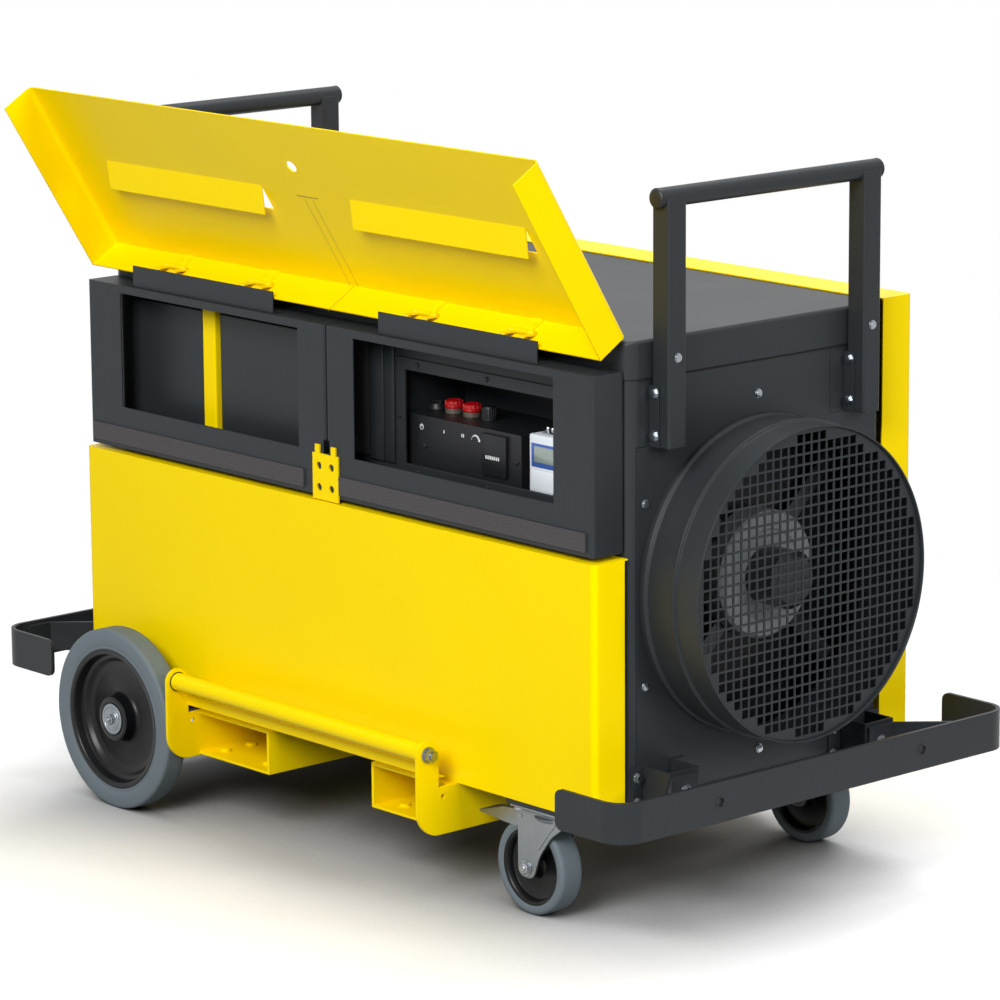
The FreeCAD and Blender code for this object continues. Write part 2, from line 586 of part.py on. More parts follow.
def hinge_brackets():
    """Dark angle brackets on the window frames, with arms to the fixed knuckles and the pins."""
    pins = []
    brackets = []
    for side in ("left", "right"):
        span = (f"{side}_bracket_start", f"{side}_bracket_end")
        front, back = f"-{BRACKET_Y}", f"-{BRACKET_Y} + bracket_depth"
        parts = [box(f"{side}_bracket_web", span, (front, f"{front} + sheet"), ("frame_top", "bracket_top")),
                 box(f"{side}_bracket_foot", span, (front, back), ("frame_top", "frame_top + sheet"))]
        bores = []
        for place, x in hinge_places().items():
            if not place.startswith(side):
                continue
            for sign, hand in ((-1, "a"), (1, "b")):
                offset = "leaf_width / 2 + knuckle_gap"
                low = f"{x} + {offset}" if sign > 0 else f"{x} - ({offset}) - knuckle_width"
                at = (low, f"-{HINGE_Y}", "hinge_z")
                reach = (low, f"{low} + knuckle_width")
                under = f"(hinge_z - {FIXED_KNUCKLE})"
                parts.append(rod(f"knuckle_{place}_{hand}", "x", at, FIXED_KNUCKLE, "knuckle_width"))
                parts.append(box(f"arm_{place}_{hand}", reach, (front, f"-{HINGE_Y}"),
                                 (under, f"{under} + sheet")))
                parts.append(box(f"tab_{place}_{hand}", reach, (front, f"{front} + sheet"),
                                 ("bracket_top - 1", f"{under} + sheet")))
            half_pin = "(leaf_width / 2 + knuckle_gap + knuckle_width)"
            at = (f"{x} - {half_pin}", f"-{HINGE_Y}", "hinge_z")
            bores.append(rod(f"pin_bore_{place}", "x", at, "hinge_pin_radius", f"2 * {half_pin}"))
            pins.append(rod(f"hinge_pin_{place}", "x", at, "hinge_pin_radius", f"2 * {half_pin}"))
        brackets.append(cut(f"{side}_bracket", joined(f"{side}_bracket_joined", *parts), *bores))
    node("hinge_brackets", group("brackets", *brackets))
    node("hinge_pins", group("pins", *pins))


# ---------------------------------------------------------------- doors and controls

def filter_doors():
    z = ("door_bottom", "door_top")
    y = (f"-{SIDE} - door_thick", f"-{SIDE}")
    left = box("door_left", (f"-{FRAME_X} + door_end_margin", "post_start - door_gap"), y, z)
    right = box("door_right", ("post_end + door_gap", "-frame_seam - 4"), y, z)
    node("filter_doors", group("doors", left, right))
    post = rounded_block("post_block", "z", ("post_start", "post_end"), (f"-{SIDE} - post_thick", f"-{SIDE}"),
                         ("door_bottom", POST_TOP), 3)
    node("door_post", post)


def control_bay():
    """Recess for the controls, its frame plate, the box, the meter and what stands on them."""
    face = f"-{SIDE}"
    back = f"({face} + bay_depth)"
    z = ("bay_bottom - bay_margin", "bay_top + bay_margin")
    outer = box("bay_outer", BAY_X, (f"{face} + sheet", back), z)
    inner = box("bay_inner", (f"{BAY_X[0]} + sheet", f"{BAY_X[1]} - sheet"),
                (f"{face} + sheet - 1", f"{back} - sheet"),
                (f"{z[0]} + sheet", f"{z[1]} - sheet"))
    node("control_recess", cut("bay_shell", outer, inner))
    plate = box("bay_plate", BAY_X, (f"{face} - sheet", face), z)
    opening = box("bay_plate_opening", ("bay_start", "bay_end"), (f"{face} - sheet - 1", f"{face} + 1"),
                  ("bay_bottom", "bay_top"))
    holes = []
    screws = []
    middle = "((bay_start + bay_end) / 2)"
    places = [(f"{middle} + {step} * 150", f"{edge}") for step in (-1, 0, 1)
              for edge in ("bay_bottom - 9", "bay_top + 9")]
    places += [("bay_start - 11", "(bay_bottom + bay_top) / 2"),
               ("bay_end + 11", "(bay_bottom + bay_top) / 2")]
    for index, (x, height) in enumerate(places):
        holes.append(rod(f"bay_hole_{index}", "y", (x, f"{face} - sheet - 1", height),
                         "screw_shank + screw_clear",
                         "sheet + 2"))
        screws.append(screw(f"bay_screw_{index}", "y", -1, (x, f"{face} - sheet", height)))
    node("control_frame", cut("bay_plate_cut", plate, opening, *holes))

    block = rounded_block("box_block", "y", ("box_start", "box_end"), (f"-{BOX_FACE}", f"{back} - sheet"),
                          ("box_bottom", "box_top"), 3)
    bores = [rod("switch_bore", "z", ("switch_x", f"-{CONTROL_Y}", "box_top - 20"), "stem_radius + fit",
                 "21"),
             rod("knob_bore", "z", ("knob_x", f"-{CONTROL_Y}", "box_top - 20"), "stem_radius + fit", "21")]
    node("control_box", cut("box_cut", block, *bores))
    meter = rounded_block("meter_block", "y", ("meter_start", "meter_end"),
                          (f"-{BOX_FACE}", f"{back} - sheet"),
                          ("box_bottom", "meter_top"), 2)
    window = box("meter_window", ("meter_start + 8", "meter_end - 30"),
                 (f"-{BOX_FACE} - 1", f"-{BOX_FACE} + 3"),
                 ("box_bottom + 42", "meter_top - 14"))
    node("energy_meter", cut("meter_cut", meter, window))

    bases = []
    lenses = []
    for place in ("lamp_a_x", "lamp_b_x"):
        base = [("0", "0"), ("lamp_base_radius", "0"), ("lamp_base_radius", "lamp_base_height - 1"),
                ("lens_radius", "lamp_base_height"), ("0", "lamp_base_height")]
        lens = [("0", "lamp_base_height"), ("lens_radius", "lamp_base_height"),
                ("lens_radius", "lamp_base_height + lens_height - 3"),
                ("lens_radius - 2.5", "lamp_base_height + lens_height"),
                ("0", "lamp_base_height + lens_height")]
        at = (place, f"-{CONTROL_Y}", "box_top")
        bases.append(turned(f"base_{place}", "z", at, base))
        lenses.append(turned(f"lens_{place}", "z", at, lens))
    node("lamp_bases", group("bases", *bases))
    node("lamp_lenses", group("lenses", *lenses))

    lift = "run_gap"
    collar = turned("switch_turned", "z", ("switch_x", f"-{CONTROL_Y}", "box_top"),
                    [("0", "-18"), ("stem_radius", "-18"), ("stem_radius", lift), ("switch_radius", lift),
                     ("switch_radius", 5), ("switch_radius - 3", 6), ("0", 6)])
    grip = box("switch_grip", ("switch_x - switch_radius + 2", "switch_x + switch_radius - 2"),
               (f"-{CONTROL_Y} - 4", f"-{CONTROL_Y} + 4"), ("box_top + 5", "box_top + switch_height"))
    node("main_switch", joined("switch_joined", collar, grip))
    dial = turned("knob_turned", "z", ("knob_x", f"-{CONTROL_Y}", "box_top"),
                  [("0", "-18"), ("stem_radius", "-18"), ("stem_radius", lift), ("knob_radius + 1", lift),
                   ("knob_radius", "knob_height - 1"), ("knob_radius - 1.5", "knob_height"),
                   ("0", "knob_height")])
    flutes = []
    for turn in range(12):
        angle = f"({turn} * 30)"
        reach = "(knob_radius + 1.2)"
        flutes.append(rod(f"flute_{turn}", "z", (f"knob_x + {reach} * cos({angle})",
                                                 f"-{CONTROL_Y} + {reach} * sin({angle})", "box_top + 3"),
                          "1.4", "knob_height"))
    node("speed_knob", cut("knob_cut", dial, *flutes))
    return screws


# ---------------------------------------------------------------- air path

def outlet_duct():
    """Round outlet spigot with a base collar, a stiffening bead and a thin rim."""
    inner = "duct_radius - duct_sheet"
    outline = [(inner, "-sheet"), ("duct_radius", "-sheet"), ("duct_radius", "0"),
               ("duct_radius + duct_collar", "0"),
               ("duct_radius + duct_collar", "8"), ("duct_radius", "12"), ("duct_radius", "bead_start"),
               ("duct_radius + bead_height", "bead_start + 2"),
               ("duct_radius + bead_height", "bead_start + bead_width - 2"),
               ("duct_radius", "bead_start + bead_width"), ("duct_radius", "duct_length"),
               (inner, "duct_length")]
    return node("outlet_duct", turned("duct", "x", (END, 0, "duct_z"), outline))


def outlet_grille():
    """Perforated plate across the duct, a little behind its rim."""
    radius = number("duct_radius - duct_sheet")
    hole = number("grille_hole")
    pitch = number("grille_pitch")
    clear = radius - number("grille_rim")
    steps = int(radius // pitch) + 1
    disc = Part.Wire([Part.makeCircle(radius)])
    openings = []
    for column in range(-steps, steps + 1):
        for line in range(-steps, steps + 1):
            across = (column + 0.5) * pitch
            up = line * pitch
            if math.hypot(abs(across) + hole / 2, abs(up) + hole / 2) < clear:
                corners = [FreeCAD.Vector(across + a * hole / 2, up + b * hole / 2, 0)
                           for a, b in ((-1, -1), (-1, 1), (1, 1), (1, -1), (-1, -1))]
                openings.append(Part.makePolygon(corners))
    plate = doc.addObject("Part::Feature", "grille_plate")
    plate.Shape = Part.Face([disc] + openings).extrude(FreeCAD.Vector(0, 0, number("sheet")))
    put(plate, TURN_EXTRUDED["x"], (f"{END} + duct_length - grille_setback - sheet", 0, "duct_z"))
    return node("outlet_grille", plate)


def fan():
    """Bulkhead with an inlet mouth, the impeller behind it and the motor on a cross held by four stays."""
    wall = f"({SIDE} - sheet)"
    low = "underside + pan_height"
    plate = box("bulkhead_plate", (BULKHEAD_X, f"{BULKHEAD_X} + 3"), mirrored_pair(wall),
                (low, "top_height - sheet - 1"))
    mouth = rod("bulkhead_mouth", "x", (f"{BULKHEAD_X} - 1", 0, "duct_z"), "inlet_radius", "5")
    ring = turned("bulkhead_ring", "x", (BULKHEAD_X, 0, "duct_z"),
                  [("inlet_radius", "0"), ("inlet_radius + 3", "0"), ("inlet_radius - 3", "20"),
                   ("inlet_radius - 6", "20")])
    node("fan_bulkhead", joined("bulkhead", cut("bulkhead_cut", plate, mouth), ring))

    hub = turned("impeller_hub", "x", (IMPELLER_X, 0, "duct_z"),
                 [("0", "impeller_width - 40"), ("30", "impeller_width - 40"), ("34", "impeller_width - 4"),
                  ("impeller_radius", "impeller_width - 4"), ("impeller_radius", "impeller_width"),
                  ("shaft_radius", "impeller_width"), ("shaft_radius", "impeller_width + stay_over + 40"),
                  ("0", "impeller_width + stay_over + 40")])
    shroud = turned("impeller_shroud", "x", (IMPELLER_X, 0, "duct_z"),
                    [("inlet_radius + 6", "0"), ("impeller_radius", "10"), ("impeller_radius", "13"),
                     ("inlet_radius + 6", "3")])
    blades = []
    for turn in range(8):
        blade = box(f"blade_{turn}", (0, "impeller_width - 6"), (0, "impeller_radius - inlet_radius - 10"),
                    ("-1.5", "1.5"))
        start = "(inlet_radius + 8)"
        put(blade, FreeCAD.Rotation(FreeCAD.Vector(1, 0, 0), turn * 45),
            (f"{IMPELLER_X} + 4", f"{start} * cos({turn} * 45)", f"duct_z + {start} * sin({turn} * 45)"))
        blades.append(blade)
    node("fan_impeller", joined("impeller", hub, shroud, *blades))

    face = f"({IMPELLER_X} + impeller_width + stay_over)"
    motor = turned("motor_can", "x", (f"{face} + spider_thick", 0, "duct_z"),
                   [("0", "0"), ("motor_radius - 6", "0"), ("motor_radius", "6"),
                    ("motor_radius", "motor_length - 8"),
                    ("motor_radius - 8", "motor_length"), ("0", "motor_length")])
    parts = [motor]
    for turn in (0, 1):
        bar = box(f"spider_bar_{turn}", (0, "spider_thick"), (0, "2 * (stay_reach + 8)"), (0, "24"))
        angle = f"({turn} * 90 - 45)"
        reach = "(stay_reach + 8)"
        put(bar, FreeCAD.Rotation(FreeCAD.Vector(1, 0, 0), turn * 90 - 45),
            (face, f"12 * sin({angle}) - {reach} * cos({angle})",
             f"duct_z - 12 * cos({angle}) - {reach} * sin({angle})"))
        parts.append(bar)
        for way in (-1, 1):
            stay_at = (f"{BULKHEAD_X} + 3", f"{way} * stay_reach * cos({angle})",
                       f"duct_z + {way} * stay_reach * sin({angle})")
            parts.append(rod(f"stay_{turn}_{way + 1}", "x", stay_at, "stay_radius",
                             f"{face} - {BULKHEAD_X} - 2"))
    bore = rod("motor_bore", "x", (f"{face} - 1", 0, "duct_z"), "shaft_radius + fit", "spider_thick + 40")
    node("fan_motor", cut("motor", joined("motor_joined", *parts), bore))


def slab_in_frame(name, x, y, z, core):
    """A sheet frame round a thin upright slab, such as a coil or a filter has."""
    wall = "frame_wall"
    outer = box(f"{name}_outer", x, y, z)
    inner = box(f"{name}_inner", (f"{x[0]} - 1", f"{x[1]} + 1"), (f"{y[0]} + {wall}", f"{y[1]} - {wall}"),
                (f"{z[0]} + {wall}", f"{z[1]} - {wall}"))
    middle = f"(({x[0]} + {x[1]}) / 2)"
    slab = box(f"{name}_slab", (f"{middle} - {core} / 2", f"{middle} + {core} / 2"), y, z)
    return joined(f"{name}_joined", cut(f"{name}_frame", outer, inner), slab)


def coils():
    """Cooling coil and reheat coil, their drip tray, the compressor and the two filter cassettes."""
    wall = f"({SIDE} - sheet)"
    for label, start in (("evaporator", "evaporator_x"), ("condenser", "condenser_x")):
        node(label, slab_in_frame(f"{label}_coil", (start, f"({start} + coil_depth)"),
                                  mirrored_pair(f"({wall} - 8)"),
                                  ("coil_bottom", "coil_top"), "coil_core"))
    floor = "underside + pan_sheet"
    outer = box("drip_outer", ("tray_start", "tray_end"), mirrored_pair(f"{wall} - pan_sheet"),
                (floor, f"{floor} + tray_height"))
    inner = box("drip_inner", ("tray_start + 3", "tray_end - 3"), mirrored_pair(f"{wall} - pan_sheet - 3"),
                ("coil_bottom", f"{floor} + tray_height + 1"))
    node("drip_tray", cut("drip_cut", outer, inner))
    node("compressor", turned("compressor_can", "z", ("compressor_x", 30, floor),
                              [("0", "0"), ("compressor_radius + 12", "0"), ("compressor_radius + 12", "5"),
                               ("compressor_radius - 6", "14"), ("compressor_radius", "30"),
                               ("compressor_radius", "compressor_height - 40"),
                               ("compressor_radius - 22", "compressor_height"), ("0", "compressor_height")]))
    cassettes = [slab_in_frame(f"{start}_cassette", (start, f"({start} + filter_depth)"),
                               mirrored_pair(f"({wall} - pan_sheet - 1)"), (f"({floor})", "filter_top"),
                               "filter_core")
                 for start in ("filter_a_x", "filter_b_x")]
    node("filter_cassettes", group("cassettes", *cassettes))


# ---------------------------------------------------------------- handles and bumpers

def handles():
    """A square-tube post each side and a round bar across them, at both ends, with side tabs and bolts."""
    tabs = []
    bolts = []
    for label, sign in (("outlet_end_handle", 1), ("inlet_end_handle", -1)):
        outer = f"{HANDLE_FACE} + post_width"
        x = (HANDLE_FACE, outer) if sign > 0 else (f"-({outer})", f"-{HANDLE_FACE}")
        middle = f"{sign} * ({HANDLE_FACE} + post_width / 2)"
        parts = []
        for side, hand in ((-1, "near"), (1, "far")):
            centre = f"({side} * handle_spread)"
            post = rounded_block(f"{label}_post_{hand}", "z", x,
                                  (f"{centre} - post_width / 2", f"{centre} + post_width / 2"),
                                  ("handle_bottom", "bar_z"), "4")
            inner = box(f"{label}_bore_{hand}", (f"{x[0]} + tube_wall", f"{x[1]} - tube_wall"),
                        (f"{centre} - post_width / 2 + tube_wall", f"{centre} + post_width / 2 - tube_wall"),
                        ("handle_bottom + tube_wall", "bar_z - 6"))
            parts.append(cut(f"{label}_tube_{hand}", post, inner))
            tab_x = (END, f"{END} + tab_depth") if sign > 0 else (f"-{END} - tab_depth", f"-{END}")
            for way in (-1, 1):
                face = f"({centre} + {way} * post_width / 2)"
                tab_y = (face, f"{face} + tab") if way > 0 else (f"{face} - tab", face)
                tabs.append(box(f"tab_{label}_{hand}_{way + 1}", tab_x, tab_y,
                                ("handle_bottom", "handle_bottom + tab_height")))
                for level in (16, 76):
                    outside = f"{face} + {way} * tab"
                    bolts.append(bolt(f"handle_bolt_{label}_{hand}_{way + 1}_{level}", "y", way,
                                      (f"{sign} * ({END} + tab_depth / 2)", outside,
                                       f"handle_bottom + {level}"), "tab"))
        bar = rod(f"{label}_bar", "y", (middle, "-handle_spread - post_width / 2 - bar_over", "bar_z"),
                  "bar_radius", "2 * (handle_spread + post_width / 2 + bar_over)")
        node(label, joined(f"{label}_joined", *parts, bar))
    cut_tabs = []
    for item in tabs:
        sign = -1 if "inlet" in item.Name else 1
        bores = [rod(f"{item.Name}_bore_{level}", "y",
                     (f"{sign} * ({END} + tab_depth / 2)", f"-{SIDE}", f"handle_bottom + {level}"),
                     "bolt_shank", "body_width") for level in (16, 76)]
        cut_tabs.append(cut(f"{item.Name}_bored", item, *bores))
    node("handle_tabs", group("tabs", *cut_tabs))
    return bolts


def bumpers():
    """A flat bar round each end on welded arms, bolted to hat brackets on the end of the body."""
    hats = []
    bolts = []
    top = "bumper_bottom + bumper_height"
    for label, sign in (("outlet_end_bumper", 1), ("inlet_end_bumper", -1)):
        inside = "bumper_thick"
        far = f"{sign} * {BUMPER_X}"
        near = f"{sign} * ({END} - 60)"
        x = (near, far) if sign > 0 else (far, near)
        deep = f"{sign} * ({END} - 120)"
        skin = f"{sign} * ({BUMPER_X} - {inside})"
        x_in = (deep, skin) if sign > 0 else (skin, deep)
        outer = rounded_block(f"{label}_outer", "z", x, mirrored_pair(BUMPER_Y), ("bumper_bottom", top),
                              "bumper_corner")
        inner = rounded_block(f"{label}_inner", "z", x_in, mirrored_pair(f"{BUMPER_Y} - {inside}"),
                              ("bumper_bottom - 1", f"{top} + 1"), f"bumper_corner - {inside}")
        face = f"{sign} * ({END} + 1)"
        trim_x = (f"{deep} - 20", face) if sign > 0 else (face, f"{deep} + 20")
        trim = box(f"{label}_trim", trim_x, mirrored_pair(f"{BUMPER_Y} + 5"),
                   ("bumper_bottom - 5", f"{top} + 5"))
        bar = cut(f"{label}_bar", outer, inner, trim)
        end_x = number(face)
        bar = softened(f"{label}_soft", bar, "end_round",
                       lambda edge, at=end_x: is_along(edge, "y") and abs(edge.BoundBox.Center.x - at) < 0.01)
        holes = [rod(f"{label}_hole_{side + 1}", "x", (x[1] if sign < 0 else near, f"{side} * bumper_hole_y",
                                                      "bumper_bottom + bumper_height / 2"),
                     "bumper_hole_radius", "200") for side in (-1, 1)]
        if sign < 0:
            for hole in holes:
                bind(hole, "Placement.Base.x", f"{far} - 10")
                bind(hole, "Height", "40")
        bar = cut(f"{label}_drilled", bar, *holes)
        arms = []
        seat = f"({END} + hat_depth)"
        back = f"({BUMPER_X} - bumper_thick)"
        for side, hand in ((-1, "near"), (1, "far")):
            path = [(seat, "hat_in + 5"), (seat, "hat_out"), (f"{back} - arm_sheet", "arm_out + 2"),
                    (f"{back} - arm_sheet", "arm_out + arm_tab"), (back, "arm_out + arm_tab"),
                    (back, "arm_out"),
                    (f"{seat} + arm_sheet", "hat_out - 2"), (f"{seat} + arm_sheet", "hat_in + 5")]
            outline = [(f"{sign} * ({x_place})", f"{side} * ({y_place})") for x_place, y_place in path]
            low = "bumper_bottom + (bumper_height - arm_height) / 2"
            arm = pressed(f"{label}_arm_{hand}", "z", outline, low, f"{low} + arm_height")
            middle = "bumper_bottom + bumper_height / 2"
            hat_path = [(END, "hat_out + hat_flange"), (f"{END} + hat_sheet", "hat_out + hat_flange"),
                        (f"{END} + hat_sheet", "hat_out"), (seat, "hat_out"), (seat, "hat_in"),
                        (f"{END} + hat_sheet", "hat_in"), (f"{END} + hat_sheet", "hat_in - hat_flange"),
                        (END, "hat_in - hat_flange"), (END, "hat_in + hat_sheet"),
                        (f"{seat} - hat_sheet", "hat_in + hat_sheet"),
                        (f"{seat} - hat_sheet", "hat_out - hat_sheet"),
                        (END, "hat_out - hat_sheet")]
            outline = [(f"{sign} * ({x_place})", f"{side} * ({y_place})") for x_place, y_place in hat_path]
            hat = pressed(f"hat_{label}_{hand}", "z", outline, "hat_bottom", "hat_bottom + hat_height")
            centre = "(hat_in + hat_out) / 2"
            bore_start = f"{sign} * ({seat} - hat_sheet - 1)"
            bore_x = bore_start if sign > 0 else f"{bore_start} - 12"
            tools = [rod(f"seat_bore_{label}_{hand}", "x", (bore_x, f"{side} * {centre}", middle),
                         "bolt_shank", "12")]
            bolts.append(bolt(f"seat_bolt_{label}_{hand}", "x", sign,
                              (f"{sign} * ({seat} + arm_sheet)", f"{side} * {centre}", middle),
                              "arm_sheet + hat_sheet"))
            arms.append(cut(f"{label}_arm_cut_{hand}", arm, tools[0]))
            for index, level in enumerate((12, 48)):
                for row_index, row_y in enumerate(("hat_out + hat_flange / 2", "hat_in - hat_flange / 2")):
                    name = f"flange_{label}_{hand}_{index}_{row_index}"
                    start = END if sign > 0 else f"-{END} - hat_sheet"
                    tools.append(rod(f"{name}_bore", "x",
                                     (start, f"{side} * ({row_y})", f"hat_bottom + {level}"),
                                     "bolt_shank", "hat_sheet"))
                    bolts.append(bolt(f"{name}_bolt", "x", sign,
                                      (f"{sign} * ({END} + hat_sheet)", f"{side} * ({row_y})",
                                       f"hat_bottom + {level}"),
                                      "hat_sheet"))
            hats.append(cut(f"hat_cut_{label}_{hand}", hat, *tools))
        node(label, joined(f"{label}_joined", bar, *arms))
    node("bumper_brackets", group("hat_group", *hats))
    return bolts


# ---------------------------------------------------------------- fork pockets and roller

def fork_pockets():
    """Two through pockets for a fork truck; the outer plates reach out past the cover to carry a roller."""
    far_y = f"({SIDE} + pocket_reach)"
    pockets = []
    for sign, side in ((-1, "left"), (1, "right")):
        outer = f"({FORK_X})"
        inner = f"({FORK_X} - pocket_width)"
        ear_x = (f"{outer} - fork_sheet", outer) if sign > 0 else (f"-{outer}", f"-{outer} + fork_sheet")
        web_x = (inner, f"{inner} + fork_sheet") if sign > 0 else (f"-{inner} - fork_sheet", f"-{inner}")
        span = (f"{inner}", f"{outer} - 1") if sign > 0 else (f"-{outer} + 1", f"-{inner}")
        low_y = f"(-{SIDE} - ear_reach)"
        blade = box(f"ear_blade_{side}", ear_x, (low_y, far_y), ("fork_bottom", "underside"))
        blade = softened(f"ear_soft_{side}", blade, "ear_width",
                         lambda edge: is_along(edge,
                                               "x") and edge.BoundBox.Center.z < number("fork_bottom") + 1)
        ear = box(f"ear_{side}", ear_x, (low_y, f"{low_y} + ear_width"), ("underside - 25", "roller_z"))
        tip = rod(f"ear_tip_{side}", "x", (ear_x[0], ROLLER_Y, "roller_z"), "ear_width / 2", "fork_sheet")
        web = box(f"pocket_web_{side}", web_x, (f"-{far_y}", far_y), ("fork_bottom + 2", "underside"))
        roof = box(f"pocket_roof_{side}", span, (f"-{far_y}", far_y), ("underside - fork_sheet", "underside"))
        floor = box(f"pocket_floor_{side}", span, (f"-{far_y}", far_y),
                    ("fork_bottom + 2", "fork_bottom + 6"))
        whole = joined(f"pocket_joined_{side}", blade, ear, tip, web, roof, floor)
        bore = rod(f"roller_bore_{side}", "x", (f"{ear_x[0]} - 1", ROLLER_Y, "roller_z"),
                   "roller_shaft_radius", "fork_sheet + 2")
        small = rod(f"lash_hole_{side}", "x", (f"{ear_x[0]} - 1", f"{low_y} + 48", "underside - 14"), "3.5",
                    "fork_sheet + 2")
        pockets.append(cut(f"pocket_{side}", whole, bore, small))
    return node("fork_pockets", group("pockets", *pockets))


def loading_roller():
    half = f"({FORK_X} - fork_sheet - roller_gap)"
    bore = "roller_shaft_radius + fit"
    outline = [(bore, f"-{half}"), ("roller_radius", f"-{half}"), ("roller_radius", half), (bore, half),
               (bore, f"{half} - roller_bush"), ("roller_radius - 3", f"{half} - roller_bush"),
               ("roller_radius - 3", f"-{half} + roller_bush"), (bore, f"-{half} + roller_bush")]
    node("roller_tube", turned("tube", "x", (0, ROLLER_Y, "roller_z"), outline))
    reach = f"({FORK_X} + 14)"
    shaft = rod("shaft_rod", "x", (f"-{reach}", ROLLER_Y, "roller_z"), "roller_shaft_radius", f"2 * {reach}")
    parts = [shaft]
    for sign, side in ((-1, "left"), (1, "right")):
        for name, radius, start, thick in (("washer", "12", "0", "2"), ("nut", "bolt_head * 1.35", "2", "9")):
            low = f"{FORK_X} + {start}" if sign > 0 else f"-{FORK_X} - {start} - {thick}"
            if name == "washer":
                parts.append(rod(f"roller_{name}_{side}", "x", (low, ROLLER_Y, "roller_z"), radius, thick))
            else:
                nut = doc.addObject("Part::Prism", f"roller_{name}_{side}")
                nut.Polygon = 6
                bind(nut, "Circumradius", radius)
                bind(nut, "Height", thick)
                parts.append(put(nut, TURN_ROUND["x"], (low, ROLLER_Y, "roller_z")))
    node("roller_shaft", joined("shaft", *parts))


# ---------------------------------------------------------------- wheels

def rear_axle():
    end = f"({WHEEL_FACE} - 2)"
    collar = f"({WHEEL_FACE} - wheel_width)"
    half = [("axle_radius", f"{collar} - 12"), ("axle_radius + 6", f"{collar} - 12"),
            ("axle_radius + 6", f"{collar} + 2 - run_gap"), ("axle_radius", f"{collar} + 2 - run_gap"),
            ("axle_radius", end), ("0", end)]
    mirror = [(radius, f"-({place})") for radius, place in reversed(half)]
    axle = turned("axle_rod", "y", (AXLE_X, 0, "wheel_radius"), half[:-1] + [half[-1]] + mirror)
    caps = []
    for sign, side in ((-1, "near"), (1, "far")):
        outline = [("0", end), ("axle_radius", end), ("axle_radius", f"{end} + run_gap"),
                   ("cap_radius", f"{end} + run_gap"), ("cap_radius", f"{end} + run_gap + 3"),
                   ("axle_radius", f"{end} + 5"), ("8", f"{end} + 7"), ("0", f"{end} + 7")]
        signed = [(radius, f"{sign} * ({place})") for radius, place in outline]
        caps.append(turned(f"axle_cap_{side}", "y", (AXLE_X, 0, "wheel_radius"), signed))
    node("rear_axle", axle)
    node("axle_caps", group("caps", *caps))


def rear_wheels():
    """Grey tyres on black deep-dish rims that turn on the fixed axle."""
    for side, sign in (("near", -1), ("far", 1)):
        def along(depth):
            return f"{sign} * ({WHEEL_FACE} - ({depth}))"
        tyre = [(f"{RIM_RADIUS}", 1), (f"{RIM_RADIUS} + 22", 0), ("wheel_radius - 5", 1.5),
                ("wheel_radius - 1", 6),
                ("wheel_radius", 12), ("wheel_radius", "wheel_width - 12"),
                ("wheel_radius - 1", "wheel_width - 6"),
                ("wheel_radius - 5", "wheel_width - 1.5"), (f"{RIM_RADIUS} + 22", "wheel_width"),
                (f"{RIM_RADIUS}", "wheel_width - 1")]
        bore = "axle_radius + fit"
        rim = [(bore, 2), ("hub_radius", 2), ("hub_radius + 1", 22), (f"{RIM_RADIUS} - 22", 26),
               (f"{RIM_RADIUS} - 9", 14),
               (f"{RIM_RADIUS} - 7", 2), (f"{RIM_RADIUS}", 2), (f"{RIM_RADIUS}", "wheel_width - 2"),
               (f"{RIM_RADIUS} - 7", "wheel_width - 2"), (f"{RIM_RADIUS} - 14", "wheel_width - 6"),
               ("hub_radius + 1", "wheel_width - 6"), ("hub_radius", "wheel_width - 2"),
               (bore, "wheel_width - 2")]
        at = (AXLE_X, 0, "wheel_radius")
        node(f"{side}_wheel_tyre",
             turned(f"{side}_tyre", "y", at, [(radius, along(depth)) for radius, depth in tyre]))
        node(f"{side}_wheel_rim",
             turned(f"{side}_rim", "y", at, [(radius, along(depth)) for radius, depth in rim]))


